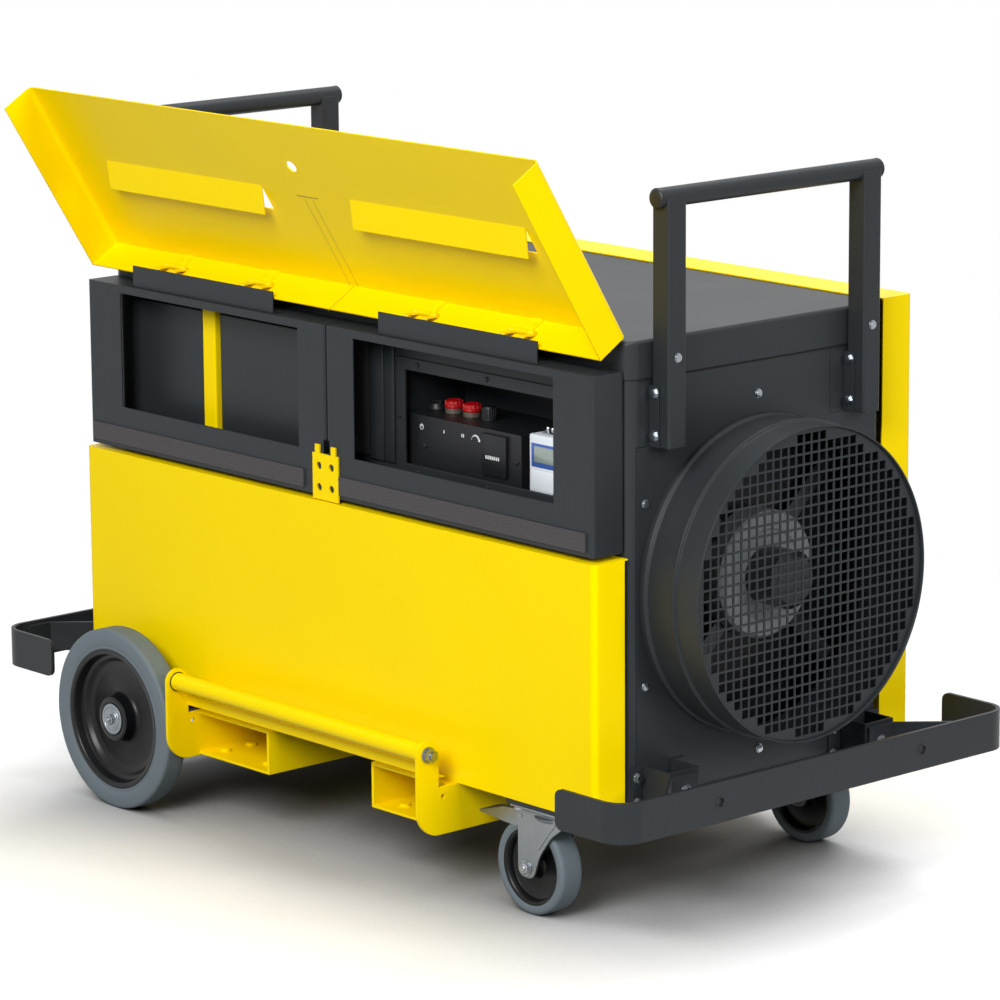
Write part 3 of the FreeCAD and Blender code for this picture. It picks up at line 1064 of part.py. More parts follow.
def castors():
    """Swivel castors under the outlet end, each with a kingpin plate, a fork, a wheel and a brake pedal."""
    plates = []
    for side, sign in (("near", -1), ("far", 1)):
        middle = f"({sign} * {CASTOR_Y})"
        axle_x = f"({CASTOR_X} - castor_trail)"
        plate = rounded_block(f"{side}_plate", "z",
                              (f"{CASTOR_X} - castor_plate_length / 2",
                               f"{CASTOR_X} + castor_plate_length / 2"),
                              (f"{middle} - castor_plate_width / 2", f"{middle} + castor_plate_width / 2"),
                              (PLATE_BOTTOM, BEAM_BOTTOM), "10")
        pin = turned(f"{side}_kingpin", "z", (CASTOR_X, middle, "0"),
                     [("0", PLATE_BOTTOM), ("28", PLATE_BOTTOM), ("26", BOSS_BOTTOM),
                      ("kingpin_radius", BOSS_BOTTOM),
                      ("kingpin_radius", f"{CROWN_TOP} - 4 - run_gap"), ("11", f"{CROWN_TOP} - 4 - run_gap"),
                      ("11", f"{CROWN_TOP} - 9.5"), ("0", f"{CROWN_TOP} - 9.5")])
        plates.append(joined(f"{side}_plate_joined", plate, pin))

        leg_outline = [(-56, "castor_radius"), (-57, "castor_radius + 56"), (-62, CROWN_TOP), (36, CROWN_TOP),
                       (31, "castor_radius + 56"), (-9, "castor_radius + 20"), (-24, "castor_radius - 2")]
        outline = [(f"{CASTOR_X} + {x}", z) for x, z in leg_outline]
        parts = []
        for way, hand in ((-1, "a"), (1, "b")):
            inner = f"({middle} + {way} * castor_leg_gap)"
            low = inner if way > 0 else f"{inner} - castor_leg"
            parts.append(pressed(f"{side}_leg_{hand}", "y", outline, low, f"{low} + castor_leg"))
            parts.append(rod(f"{side}_leg_end_{hand}", "y", (axle_x, low, "castor_radius"), "16",
                             "castor_leg"))
        parts.append(box(f"{side}_crown", (f"{CASTOR_X} - 62", f"{CASTOR_X} + 36"),
                         (f"{middle} - castor_leg_gap - 1", f"{middle} + castor_leg_gap + 1"),
                         (f"{CROWN_TOP} - 4", CROWN_TOP)))
        pivot_x = f"({CASTOR_X} - pedal_pivot)"
        bores = [rod(f"{side}_crown_bore", "z", (CASTOR_X, middle, f"{CROWN_TOP} - 5"),
                     "kingpin_radius + fit", "6"),
                 rod(f"{side}_axle_bore", "y", (axle_x, f"{middle} - 40", "castor_radius"),
                     "castor_axle_radius", "80"),
                 rod(f"{side}_pedal_bore", "y", (pivot_x, f"{middle} - 40", "pedal_pivot_z"),
                     "pedal_pin_radius", "80")]
        yoke = cut(f"{side}_yoke", joined(f"{side}_yoke_joined", *parts), *bores)
        leg_face = "(castor_leg_gap + castor_leg)"
        axle = turned(f"{side}_castor_axle", "y", (axle_x, middle, "castor_radius"),
                      [("0", f"-{leg_face} - 7"), ("castor_axle_radius", f"-{leg_face} - 7"),
                       ("10", f"-{leg_face} - 6"),
                       ("10", f"-{leg_face}"), ("castor_axle_radius", f"-{leg_face}"),
                       ("castor_axle_radius", leg_face),
                       ("10", leg_face), ("10", f"{leg_face} + 6"), ("0", f"{leg_face} + 6")])
        pin = rod(f"{side}_pedal_pin", "y", (pivot_x, f"{middle} - {leg_face} - 1", "pedal_pivot_z"),
                  "pedal_pin_radius",
                  f"2 * {leg_face} + 2")
        node(f"{side}_castor_fork", group(f"{side}_fork_group", yoke, axle, pin))

        half = "castor_width / 2"
        tyre = [(f"{CASTOR_RIM}", f"-{half} + 1"), ("castor_radius - 6", f"-{half}"),
                ("castor_radius - 1", f"-{half} + 5"),
                ("castor_radius", f"-{half} + 11"), ("castor_radius", f"{half} - 11"),
                ("castor_radius - 1", f"{half} - 5"), ("castor_radius - 6", half),
                (f"{CASTOR_RIM}", f"{half} - 1")]
        bore = "castor_axle_radius + fit"
        hub = "castor_leg_gap - 0.5"
        rim = [(bore, f"-({hub})"), (15, f"-({hub})"), (17, -4), (f"{CASTOR_RIM} - 9", -4),
               (f"{CASTOR_RIM} - 5", f"-{half} + 2"),
               (f"{CASTOR_RIM}", f"-{half} + 2"), (f"{CASTOR_RIM}", f"{half} - 2"),
               (f"{CASTOR_RIM} - 5", f"{half} - 2"),
               (f"{CASTOR_RIM} - 9", 4), (17, 4), (15, hub), (bore, hub)]
        at = (axle_x, middle, "castor_radius")
        node(f"{side}_castor_tyre", turned(f"{side}_castor_tread", "y", at, tyre))
        node(f"{side}_castor_rim", turned(f"{side}_castor_wheel", "y", at, rim))

        barrel = rod(f"{side}_pedal_barrel", "y",
                     (pivot_x, f"{middle} - castor_leg_gap + 1", "pedal_pivot_z"), "4.2",
                     "2 * castor_leg_gap - 2")
        drop = "pedal_length * tan(pedal_slope)"
        path = [(f"{pivot_x}", "pedal_pivot_z + 1.5"),
                (f"{pivot_x} - pedal_length", f"pedal_pivot_z + 1.5 - {drop}"),
                (f"{pivot_x} - pedal_length - 2", f"pedal_pivot_z - 1 - {drop}"),
                (f"{pivot_x} - pedal_length + 1", f"pedal_pivot_z - 1.5 - {drop}"),
                (f"{pivot_x}", "pedal_pivot_z - 1.5")]
        blade = pressed(f"{side}_pedal_blade", "y", path, f"{middle} - pedal_width / 2",
                        f"{middle} + pedal_width / 2")
        bore = rod(f"{side}_pedal_hole", "y", (pivot_x, f"{middle} - 40", "pedal_pivot_z"),
                   "pedal_pin_radius + fit", "80")
        node(f"{side}_castor_pedal",
             cut(f"{side}_pedal", joined(f"{side}_pedal_joined", barrel, blade), bore))
    node("castor_plates", group("plate_group", *plates))


base_pan()
body_shell()
fasteners = end_panels()
top_cover()
lower_cover()
far_cover()
window_frames()
latch_plate()
edge_strips()
lid()
lid_leaves()
hinge_brackets()
filter_doors()
fasteners += control_bay()
outlet_duct()
outlet_grille()
fan()
coils()
fasteners += handles()
fasteners += bumpers()
fork_pockets()
loading_roller()
rear_axle()
rear_wheels()
castors()
node("fasteners", group("fastener_group", *fasteners))

doc.recompute()
for item in doc.Objects:
    if "Invalid" in item.State or "Error" in item.State:
        raise RuntimeError(f"{item.Name} failed: {item.State}")
for label, item in nodes.items():
    if item.Shape.isNull() or not item.Shape.isValid():
        raise RuntimeError(f"{label} has no valid shape")
os.makedirs("parts", exist_ok=True)
for label, item in nodes.items():
    item.Shape.exportStep(f"parts/{label}.step")
print(len(nodes), "sub-parts written")
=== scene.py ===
# Mobile dehumidifier: yellow and anthracite sheet metal, rubber tyres, zinc fittings and a small control bay.
# Lengths are millimetres, which MM turns into metres, apart from those of the floor, lamps and backdrop.

import math

import bmesh
import bpy
from mathutils import Matrix, Vector


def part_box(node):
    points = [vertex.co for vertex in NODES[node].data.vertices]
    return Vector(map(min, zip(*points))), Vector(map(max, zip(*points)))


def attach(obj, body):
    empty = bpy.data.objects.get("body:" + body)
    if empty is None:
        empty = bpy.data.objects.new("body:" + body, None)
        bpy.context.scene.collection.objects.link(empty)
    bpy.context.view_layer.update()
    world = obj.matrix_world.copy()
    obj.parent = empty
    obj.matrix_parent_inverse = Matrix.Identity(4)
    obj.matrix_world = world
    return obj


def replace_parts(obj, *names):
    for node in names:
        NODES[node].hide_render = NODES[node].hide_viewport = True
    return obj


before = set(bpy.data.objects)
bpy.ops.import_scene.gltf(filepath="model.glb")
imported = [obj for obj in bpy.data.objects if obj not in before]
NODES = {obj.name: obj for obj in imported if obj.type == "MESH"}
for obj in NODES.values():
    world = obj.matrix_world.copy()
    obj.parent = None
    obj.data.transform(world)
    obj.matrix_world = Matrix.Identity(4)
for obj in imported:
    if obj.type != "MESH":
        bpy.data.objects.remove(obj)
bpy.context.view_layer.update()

MM = 0.001
SIDES = (("near", -1), ("far", 1))
# How far the lid stands open, and a point on its hinge line.
LID_ANGLE = math.radians(-148.3)
HINGE = Vector((0, -280, 836)) * MM


# ---------------------------------------------------------------- places in the frame

def corners_of(name):
    """Lowest and highest corner of a frame node in millimetres, to the nearest thousandth."""
    return [[round(value / MM, 3) for value in corner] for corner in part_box(name)]


def middle_of(name):
    """The middle of a frame node's box, in metres."""
    low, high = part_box(name)
    return (Vector(low) + Vector(high)) / 2


# ---------------------------------------------------------------- materials

# Length over which a finish's tone and gloss drift, how far its roughness drifts, and the depth of its grain.
DRIFT_LENGTH = 180
GLOSS_DRIFT = 0.06
GRAIN_DEPTH = 0.3


def linear(code):
    """An sRGB hex colour as the linear values that Blender's sockets take."""
    parts = [int(code[i:i + 2], 16) / 255 for i in (1, 3, 5)]
    return [c / 12.92 if c <= 0.04045 else ((c + 0.055) / 1.055) ** 2.4 for c in parts] + [1.0]


def add(tree, kind, links=None, **settings):
    """Adds a node, sets its sockets and properties, and links what is given as an output."""
    item = tree.nodes.new(kind)
    for name, value in settings.items():
        if name in item.bl_rna.properties:
            setattr(item, name, value)
        else:
            item.inputs[name.replace("_", " ")].default_value = value
    for name, output in (links or {}).items():
        tree.links.new(output, item.inputs[name])
    return item


def finish_of(name, colour, roughness, metallic=0.0, grain=None, bump=0.0, tone=0.0, soft_edge=0.8, **extra):
    """A material: a colour with a slight drift, a grain of a real size in millimetres, and eased edges."""
    mat = bpy.data.materials.new(name)
    mat.use_nodes = True
    tree = mat.node_tree
    tree.nodes.clear()
    out = add(tree, "ShaderNodeOutputMaterial")
    place = add(tree, "ShaderNodeTexCoord").outputs["Object"]
    shader = add(tree, "ShaderNodeBsdfPrincipled", Base_Color=linear(colour), Roughness=roughness,
                 Metallic=metallic, **extra)
    if tone:
        drift = add(tree, "ShaderNodeTexNoise", {"Vector": place}, Scale=1 / (DRIFT_LENGTH * MM), Detail=3.0)
        ramp = add(tree, "ShaderNodeMapRange", {"Value": drift.outputs["Fac"]}, From_Min=0.3, From_Max=0.7,
                   To_Min=1 - tone, To_Max=1 + tone)
        shade = add(tree, "ShaderNodeHueSaturation", {"Value": ramp.outputs["Result"]}, Color=linear(colour))
        gloss = add(tree, "ShaderNodeMapRange", {"Value": drift.outputs["Fac"]},
                    To_Min=roughness - GLOSS_DRIFT, To_Max=roughness + GLOSS_DRIFT)
        tree.links.new(shade.outputs["Color"], shader.inputs["Base Color"])
        tree.links.new(gloss.outputs["Result"], shader.inputs["Roughness"])
    eased = add(tree, "ShaderNodeBevel", samples=4, Radius=soft_edge * MM)
    normal = eased.outputs["Normal"]
    if grain:
        fine = add(tree, "ShaderNodeTexNoise", {"Vector": place}, Scale=1 / (grain * MM), Detail=2.0)
        rise = add(tree, "ShaderNodeBump", {"Height": fine.outputs["Fac"], "Normal": normal}, Strength=bump,
                   Distance=GRAIN_DEPTH * MM)
        normal = rise.outputs["Normal"]
    tree.links.new(normal, shader.inputs["Normal"])
    tree.links.new(shader.outputs["BSDF"], out.inputs["Surface"])
    return mat


def two_tone(mat, low_colour, high_colour, height):
    """Changes a finish's colour above one height in millimetres."""
    tree = mat.node_tree
    place = add(tree, "ShaderNodeSeparateXYZ", {"Vector": add(tree, "ShaderNodeTexCoord").outputs["Object"]})
    above = add(tree, "ShaderNodeMath", {0: place.outputs["Z"]}, operation="GREATER_THAN")
    above.inputs[1].default_value = height * MM
    mix = add(tree, "ShaderNodeMix", {0: above.outputs[0]}, data_type="RGBA")
    colours = [socket for socket in mix.inputs if socket.type == "RGBA"]
    colours[0].default_value, colours[1].default_value = linear(low_colour), linear(high_colour)
    shader = next(item for item in tree.nodes if item.type == "BSDF_PRINCIPLED")
    result = next(socket for socket in mix.outputs if socket.type == "RGBA")
    tree.links.new(result, shader.inputs["Base Color"])


YELLOW = "#F8D800"
ANTHRACITE = "#25292C"
# Polyester powder coat in signal yellow: an even colour with a soft orange-peel sheen.
yellow_coat = finish_of("yellow_powder_coat", YELLOW, 0.40, grain=3.2, bump=0.10, tone=0.012, soft_edge=1.4,
                        Specular_IOR_Level=0.24, Specular_Tint=linear("#FFD820"))
# Fine-textured anthracite powder coat: a dull grain that greys where light grazes it.
dark_coat = finish_of("anthracite_powder_coat", ANTHRACITE, 0.44, grain=1.6, bump=0.20, tone=0.05,
                      soft_edge=2.8, Specular_IOR_Level=0.26)
# The same coat on bent flat bar, a little smoother.
bar_coat = finish_of("anthracite_bar_coat", "#26292C", 0.42, grain=2.4, bump=0.15, tone=0.06, soft_edge=2.4,
                     Specular_IOR_Level=0.22)
# Zinc-plated steel: bright, cool and slightly uneven.
zinc = finish_of("zinc_plated_steel", "#9EA3A9", 0.26, 1.0, grain=1.2, bump=0.08, tone=0.06, soft_edge=0.5)
# Pressed and zinc-plated castor steel: duller, with a faint rolled grain.
pressed_zinc = finish_of("pressed_zinc_steel", "#858B91", 0.30, 0.85, grain=2.5, bump=0.12, tone=0.10,
                         soft_edge=1.2)
# Grey non-marking rubber: matt, with a dusty unevenness.
tyre_rubber = finish_of("grey_elastic_rubber", "#5F6A70", 0.66, grain=2.0, bump=0.25, tone=0.06)
# Black moulded polyamide rims: low gloss with soft rounded edges.
rim_plastic = finish_of("black_polyamide", "#0B0C0E", 0.34, grain=1.5, bump=0.06, tone=0.05, soft_edge=1.2,
                        Specular_IOR_Level=0.26)
# Black moulded ABS of the control parts: finer and duller than the rims.
black_plastic = finish_of("black_moulded_abs", "#17181A", 0.42, grain=0.8, bump=0.12, tone=0.03,
                          soft_edge=0.7, Specular_IOR_Level=0.35)
# Extruded rubber edging with a brownish black tone.
edging_rubber = finish_of("ribbed_edging_rubber", "#3B383A", 0.68, grain=1.0, bump=0.15, tone=0.03,
                          soft_edge=0.4)
# Painted shade: a very dull black laid in the seam under the deck's skirt and in the slot beside the doors,
# where shade falls.
seam_shade = finish_of("black_seam_shade", "#121213", 0.92, grain=1.4, bump=0.5, soft_edge=0.5)
# Smoked brown-grey polycarbonate of the lamp bodies: smooth, with a clear highlight.
lamp_body = finish_of("smoked_polycarbonate", "#575046", 0.30, soft_edge=0.5)
# Red polycarbonate lens: glossy, and partly clear, so that its depth glows.
lens_red = finish_of("red_clear_polycarbonate", "#D8141B", 0.12, soft_edge=0.5, Transmission_Weight=0.35,
                     IOR=1.58)
# White ABS meter housing: cool white and satin.
white_plastic = finish_of("white_moulded_abs", "#DDE3E8", 0.40, grain=0.8, bump=0.05, tone=0.01)
# Blue printed bezel film: flat and even.
blue_film = finish_of("blue_bezel_film", "#3A5CA6", 0.35)
# Grey-green liquid crystal behind a clear window that adds a sharp gloss.
lcd_glass = finish_of("liquid_crystal_glass", "#8E9B94", 0.15, Coat_Weight=0.6)
# White screen-printing ink: matt, with crisp edges.
white_ink = finish_of("white_screen_ink", "#E4E5E6", 0.55, soft_edge=0.1)
# Aluminium sheet and fins, mill finish: a soft pale shine.
mill_aluminium = finish_of("mill_aluminium", "#B9BDC0", 0.35, 1.0, grain=2.0, bump=0.10, tone=0.05)
# Cast aluminium: pale grey, coarse and dull.
cast_aluminium = finish_of("cast_aluminium", "#868B8D", 0.55, 0.20, grain=3.0, bump=0.35, tone=0.10)
# The dark coat of the hinge brackets, with the knuckles above the hinge line sprayed in the lid's yellow.
KNUCKLE_LINE = 831.6
bracket_coat = finish_of("anthracite_coat_yellow_knuckles", ANTHRACITE, 0.44, grain=1.6, bump=0.20,
                         soft_edge=2.2, Specular_IOR_Level=0.26)
two_tone(bracket_coat, ANTHRACITE, YELLOW, KNUCKLE_LINE)
# Gloss black machine enamel: the brush's faint ripple bends its highlights.
enamel = finish_of("black_machine_enamel", "#26282B", 0.25, grain=4.0, bump=0.08)
# Pleated polyester filter cloth: pale, fibrous and without any shine.
filter_cloth = finish_of("filter_cloth", "#B8B6AE", 0.9, grain=1.5, bump=0.4)
# Painted shade: a darker yellow for the bend and score lines and the slit in the yellow coat, where the shade
# gathers.
score_shade = finish_of("yellow_coat_in_shadow", "#B89A00", 0.5)


# ---------------------------------------------------------------- mesh tools

MERGE_DISTANCE = 0.001


def piece_from(bm, name, material, body, smooth=35):
    """Turns a bmesh into a finished piece at the origin on a body; edges past the smooth angle stay sharp."""
    mesh = bpy.data.meshes.new(name)
    bmesh.ops.remove_doubles(bm, verts=bm.verts, dist=MERGE_DISTANCE * MM)
    bmesh.ops.recalc_face_normals(bm, faces=bm.faces)
    bm.to_mesh(mesh)
    bm.free()
    mesh.materials.append(material)
    for face in mesh.polygons:
        face.use_smooth = True
    mesh.set_sharp_from_angle(angle=math.radians(smooth))
    piece = bpy.data.objects.new(name, mesh)
    bpy.context.scene.collection.objects.link(piece)
    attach(piece, body)
    return piece


# Turns a shape drawn about z so that it stands along an axis.
AXIS_TURN = {
    "x": Matrix(((0, 0, 1), (1, 0, 0), (0, 1, 0))).to_4x4(),
    "y": Matrix(((0, 1, 0), (0, 0, 1), (1, 0, 0))).to_4x4(),
    "z": Matrix.Identity(4),
}


def lathe(bm, profile, centre, axis="z", steps=64, closed=True, sign=1):
    """Turns (radius, distance) corners in millimetres about an axis through a centre in metres."""
    turn = AXIS_TURN[axis]
    rings = []
    for radius, along in profile:
        ring = []
        count = 1 if radius == 0 else steps
        for i in range(count):
            angle = 2 * math.pi * i / steps
            local = Vector((radius * math.cos(angle), radius * math.sin(angle), sign * along)) * MM
            ring.append(bm.verts.new(centre + turn @ local))
        rings.append(ring)
    pairs = list(zip(rings, rings[1:]))
    if closed:
        pairs.append((rings[-1], rings[0]))
    for low, high in pairs:
        for i in range(steps):
            j = (i + 1) % steps
            corners = [low[i % len(low)], low[j % len(low)], high[j % len(high)], high[i % len(high)]]
            corners = list(dict.fromkeys(corners))
            if len(corners) > 2:
                bm.faces.new(corners)


def block(bm, low, high, radius=0.0, segments=2):
    """A block between two corners in millimetres, with all its edges rounded."""
    low, high = Vector(low) * MM, Vector(high) * MM
    made = bmesh.ops.create_cube(bm, size=1)["verts"]
    middle, size = (low + high) / 2, high - low
    for vert in made:
        vert.co = middle + Vector(vert.co[i] * size[i] for i in range(3))
    if radius:
        edges = list(dict.fromkeys(edge for vert in made for edge in vert.link_edges))
        bmesh.ops.bevel(bm, geom=edges, offset=radius * MM, segments=segments, affect="EDGES", profile=0.5)


def extruded(bm, corners, low, high, axis):
    """An outline pulled between two places along x, with (y, z) corners, or along y, with (x, z) corners."""
    ends = []
    for place in (low, high):
        points = [(place, a, b) if axis == "x" else (a, place, b) for a, b in corners]
        ends.append([bm.verts.new(Vector(point) * MM) for point in points])
    bm.faces.new(ends[0])
    bm.faces.new(list(reversed(ends[1])))
    for i in range(len(corners)):
        j = (i + 1) % len(corners)
        bm.faces.new((ends[0][i], ends[0][j], ends[1][j], ends[1][i]))


def rounded_outline(corners, radii, steps=6):
    """Rounds the corners of an outline; a radius of 0 leaves a corner sharp."""
    points = []
    count = len(corners)
    for i, radius in enumerate(radii):
        here = Vector(corners[i])
        back = (Vector(corners[i - 1]) - here).normalized()
        ahead = (Vector(corners[(i + 1) % count]) - here).normalized()
        if not radius:
            points.append(tuple(here))
            continue
        half = back.angle(ahead) / 2
        reach = radius / math.tan(half)
        centre = here + (back + ahead).normalized() * radius / math.sin(half)
        start, end = here + back * reach - centre, here + ahead * reach - centre
        sweep = start.angle_signed(end)
        for k in range(steps + 1):
            points.append(tuple(centre + Matrix.Rotation(-sweep * k / steps, 2) @ start))
    return points


def turned_with_lid(bm):
    """Moves what was drawn at the closed lid to the open lid's place."""
    spin = Matrix.Translation(HINGE) @ Matrix.Rotation(LID_ANGLE, 4, "X") @ Matrix.Translation(-HINGE)
    bmesh.ops.transform(bm, matrix=spin, verts=bm.verts)


# ---------------------------------------------------------------- finishes of the carried-over sheet metal

COATS = {
    yellow_coat: ["lower_cover", "far_cover", "lid", "lid_hinge_leaves", "latch_plate", "door_post",
                  "fork_pockets", "roller_tube", "hinge_pins"],
    dark_coat: ["base_pan", "body_shell", "outlet_panel", "inlet_panel", "top_cover", "left_window_frame",
                "right_window_frame", "filter_doors", "control_frame", "control_recess", "outlet_duct",
                "fan_bulkhead"],
    bar_coat: ["outlet_grille", "outlet_end_handle", "inlet_end_handle", "handle_tabs", "outlet_end_bumper",
               "inlet_end_bumper", "bumper_brackets"],
    bracket_coat: ["hinge_brackets"],
    zinc: ["rear_axle", "roller_shaft", "drip_tray"],
    mill_aluminium: ["evaporator", "condenser"],
    enamel: ["compressor", "fan_motor"],
    rim_plastic: ["fan_impeller"],
    filter_cloth: ["filter_cassettes"],
    black_plastic: ["control_box"],
}
for coat, names in COATS.items():
    for name in names:
        mesh = NODES[name].data
        mesh.materials.clear()
        mesh.materials.append(coat)


# ---------------------------------------------------------------- screws and bolts

# Half of a washer's thickness, which lifts a head off its sheet, and the rise of a head's domed top.
WASHER_HALF = 0.3
CROWN_RISE = 0.7


def head_tree(sides):
    """Geometry Nodes: a washer and a head on every point, facing along the point's own direction."""
    tree = bpy.data.node_groups.new(f"heads_with_{sides}_sides", "GeometryNodeTree")
    face = tree.interface
    face.new_socket("Places", in_out="INPUT", socket_type="NodeSocketGeometry")
    for label in ("Head Radius", "Head Height", "Washer Radius", "Recess Radius"):
        face.new_socket(label, in_out="INPUT", socket_type="NodeSocketFloat")
    face.new_socket("Finish", in_out="INPUT", socket_type="NodeSocketMaterial")
    face.new_socket("Heads", in_out="OUTPUT", socket_type="NodeSocketGeometry")
    given = add(tree, "NodeGroupInput").outputs
    result = add(tree, "NodeGroupOutput")

    def lifted(shape, height, share):
        rise = add(tree, "ShaderNodeMath", {0: height}, operation="MULTIPLY")
        rise.inputs[1].default_value = share
        offset = add(tree, "ShaderNodeCombineXYZ", {"Z": rise.outputs[0]})
        return add(tree, "GeometryNodeTransform", {"Geometry": shape, "Translation": offset.outputs[0]})

    washer = add(tree, "GeometryNodeMeshCylinder", {"Radius": given["Washer Radius"]}, Vertices=28,
                 Depth=2 * WASHER_HALF * MM)
    head = add(tree, "GeometryNodeMeshCylinder",
               {"Radius": given["Head Radius"], "Depth": given["Head Height"]}, Vertices=sides)
    raised = lifted(head.outputs["Mesh"], given["Head Height"], 0.5)
    crown = add(tree, "GeometryNodeMeshCone",
                {"Radius Bottom": given["Head Radius"], "Radius Top": given["Recess Radius"]},
                Vertices=sides, Depth=CROWN_RISE * MM)
    topped = lifted(crown.outputs["Mesh"], given["Head Height"], 1.0)
    joined = add(tree, "GeometryNodeJoinGeometry")
    for part in (washer.outputs["Mesh"], raised.outputs[0], topped.outputs[0]):
        tree.links.new(part, joined.inputs[0])
    facing = add(tree, "GeometryNodeInputNamedAttribute", data_type="FLOAT_VECTOR", Name="facing")
    aim = add(tree, "FunctionNodeAlignRotationToVector", {"Vector": facing.outputs["Attribute"]}, axis="Z")
    spread = add(tree, "GeometryNodeInstanceOnPoints",
                 {"Points": given["Places"], "Instance": joined.outputs[0], "Rotation": aim.outputs[0]})
    real = add(tree, "GeometryNodeRealizeInstances", {"Geometry": spread.outputs[0]})
    coated = add(tree, "GeometryNodeSetMaterial",
                 {"Geometry": real.outputs[0], "Material": given["Finish"]})
    tree.links.new(coated.outputs[0], result.inputs[0])
    return tree


HEX_TREE = head_tree(6)
ROUND_TREE = head_tree(20)
# Each kind of head: its radius and height, then the radii of its washer and of its recess.
FRAME_BOLT = (6.8, 4.6, 9.0, 3.6)
PANEL_SCREW = (5.6, 2.2, 6.6, 2.4)
BAY_SCREW = (3.6, 1.4, 3.9, 1.4)
PLATE_BOLT = (6.2, 4.2, 8.2, 3.2)
CARRIAGE_BOLT = (8.0, 3.6, 11.5, 4.0)
HINGE_RIVET = (2.2, 0.8, 2.4, 1.0)


def heads(name, tree, places, sizes, material, body):
    """Bakes a set of heads to a plain mesh; places are (point in millimetres, direction) pairs."""
    mesh = bpy.data.meshes.new(name)
    mesh.from_pydata([Vector(point) * MM for point, _ in places], [], [])
    facing = mesh.attributes.new("facing", "FLOAT_VECTOR", "POINT")
    for i, (_, direction) in enumerate(places):
        facing.data[i].vector = direction
    seed = bpy.data.objects.new(f"{name}_seed", mesh)
    bpy.context.scene.collection.objects.link(seed)
    modifier = seed.modifiers.new("heads", "NODES")
    modifier.node_group = tree
    items = tree.interface.items_tree
    sockets = {item.name: item.identifier for item in items if item.in_out == "INPUT"}
    for label, value in zip(("Head Radius", "Head Height", "Washer Radius", "Recess Radius"), sizes):
        modifier[sockets[label]] = value * MM
    modifier[sockets["Finish"]] = material
    bpy.context.view_layer.update()
    evaluated = seed.evaluated_get(bpy.context.evaluated_depsgraph_get())
    baked = bpy.data.meshes.new_from_object(evaluated)
    bpy.data.objects.remove(seed)
    baked.name = name
    baked.set_sharp_from_angle(angle=math.radians(30))
    piece = bpy.data.objects.new(name, baked)
    bpy.context.scene.collection.objects.link(piece)
    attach(piece, body)
    return piece


def end_fasteners():
    """(point, direction) of the bolts and the screws on both ends, from the outlet end's boxes."""
    panel_x = corners_of("outlet_panel")[1][0]
    tab_x = corners_of("handle_tabs")[1][0]
    post_x = corners_of("outlet_end_handle")[1][0]
    bracket_x, bumper_x = 583, 638
    post_y, tab_half, seat = 191, 20, 0.2
    panel_places = [(0, 737), (218, 610), (-218, 610), (218, 351), (-218, 351), (5, 222)]
    bolts, screws = [], []
    for end in (1, -1):
        outwards = (end, 0, 0)
        screws += [((end * (panel_x + WASHER_HALF), y, z), outwards) for y, z in panel_places]
        for side in (-1, 1):
            for way in (-1, 1):
                face = side * post_y + way * (tab_half + seat)
                bolts += [((end * (panel_x + tab_x) / 2, face, z), (0, way, 0)) for z in (706, 766)]
            screws.append(((end * (post_x + seat), side * post_y, 816), outwards))
            for y in (235, 155):
                bolts += [((end * (bracket_x + WASHER_HALF), side * y, z), outwards) for z in (187, 223)]
            bolts.append(((end * (bumper_x + WASHER_HALF), side * 195, 209), outwards))
    return bolts, screws


def bay_fasteners():
    """(point, direction) of the screws in the control frame, the recess's back and the box's face."""
    low, high = corners_of("control_frame")
    rim, back, front = low[1] - 0.2, -122.2, corners_of("control_box")[0][1] - WASHER_HALF
    places = [(x, rim, z) for x in (140, 290, 440) for z in (low[2] + 9, high[2] - 9)]
    places += [(x, rim, (low[2] + high[2]) / 2) for x in (low[0] + 7, high[0] - 7)]
    places += [(x, back, 712) for x in (165, 255, 345)]
    places += [(136, front, 630), (334, front, 634)]
    return [(place, (0, -1, 0)) for place in places]


bolt_places, screw_places = end_fasteners()
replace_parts(heads("hex_bolts", HEX_TREE, bolt_places, FRAME_BOLT, zinc, "frame"), "fasteners")
heads("panel_screws", ROUND_TREE, screw_places, PANEL_SCREW, zinc, "frame")
heads("bay_screws", ROUND_TREE, bay_fasteners(), BAY_SCREW, bar_coat, "frame")


# ---------------------------------------------------------------- wheels

# Each profile is (radius, distance) corners from the wheel's outer side inwards.
REAR_TYRE = [(109, 1.6), (112, 0.9), (113, 1.5), (114.2, 0.7), (124, 0.1), (134, 0), (137.2, 0.6),
             (139.2, 2.2), (140, 4.6), (140, 9.4), (139.2, 9.9), (139.2, 10.5), (140, 11), (140, 18.4),
             (139.4, 18.8), (139.4, 19.2), (140, 19.6), (140, 27), (139.2, 27.5), (139.2, 28.1),
             (140, 28.6), (140, 33.4), (139.2, 35.8), (137.2, 37.4), (134, 38), (124, 37.9), (109, 36.4)]
REAR_RIM = [(10.2, 3.6), (24.6, 3.6), (25.4, 1.8), (27, 1.2), (32.6, 1.2), (34.4, 2.6), (35.4, 17),
            (37, 21.6), (41, 24.2), (76, 26.6), (84, 26.2), (88.4, 23.6), (91, 19), (93.6, 17.4),
            (97, 16.6), (98.6, 14), (99.8, 4.2), (101, 2.2), (103, 1.4), (108.9, 1.4), (108.9, 36.6),
            (101, 36.6), (98.5, 34), (92, 31), (42, 29.6), (37, 31), (34.5, 35.8), (10.2, 35.8)]
CASTOR_TYRE = [(56.5, 1.6), (60, 0.6), (64, 0.1), (66.8, 0.6), (68.9, 2.4), (69.8, 5), (70, 9), (70, 31),
               (69.8, 35), (68.9, 37.6), (66.8, 39.4), (64, 39.9), (60, 39.4), (56.5, 38.4)]
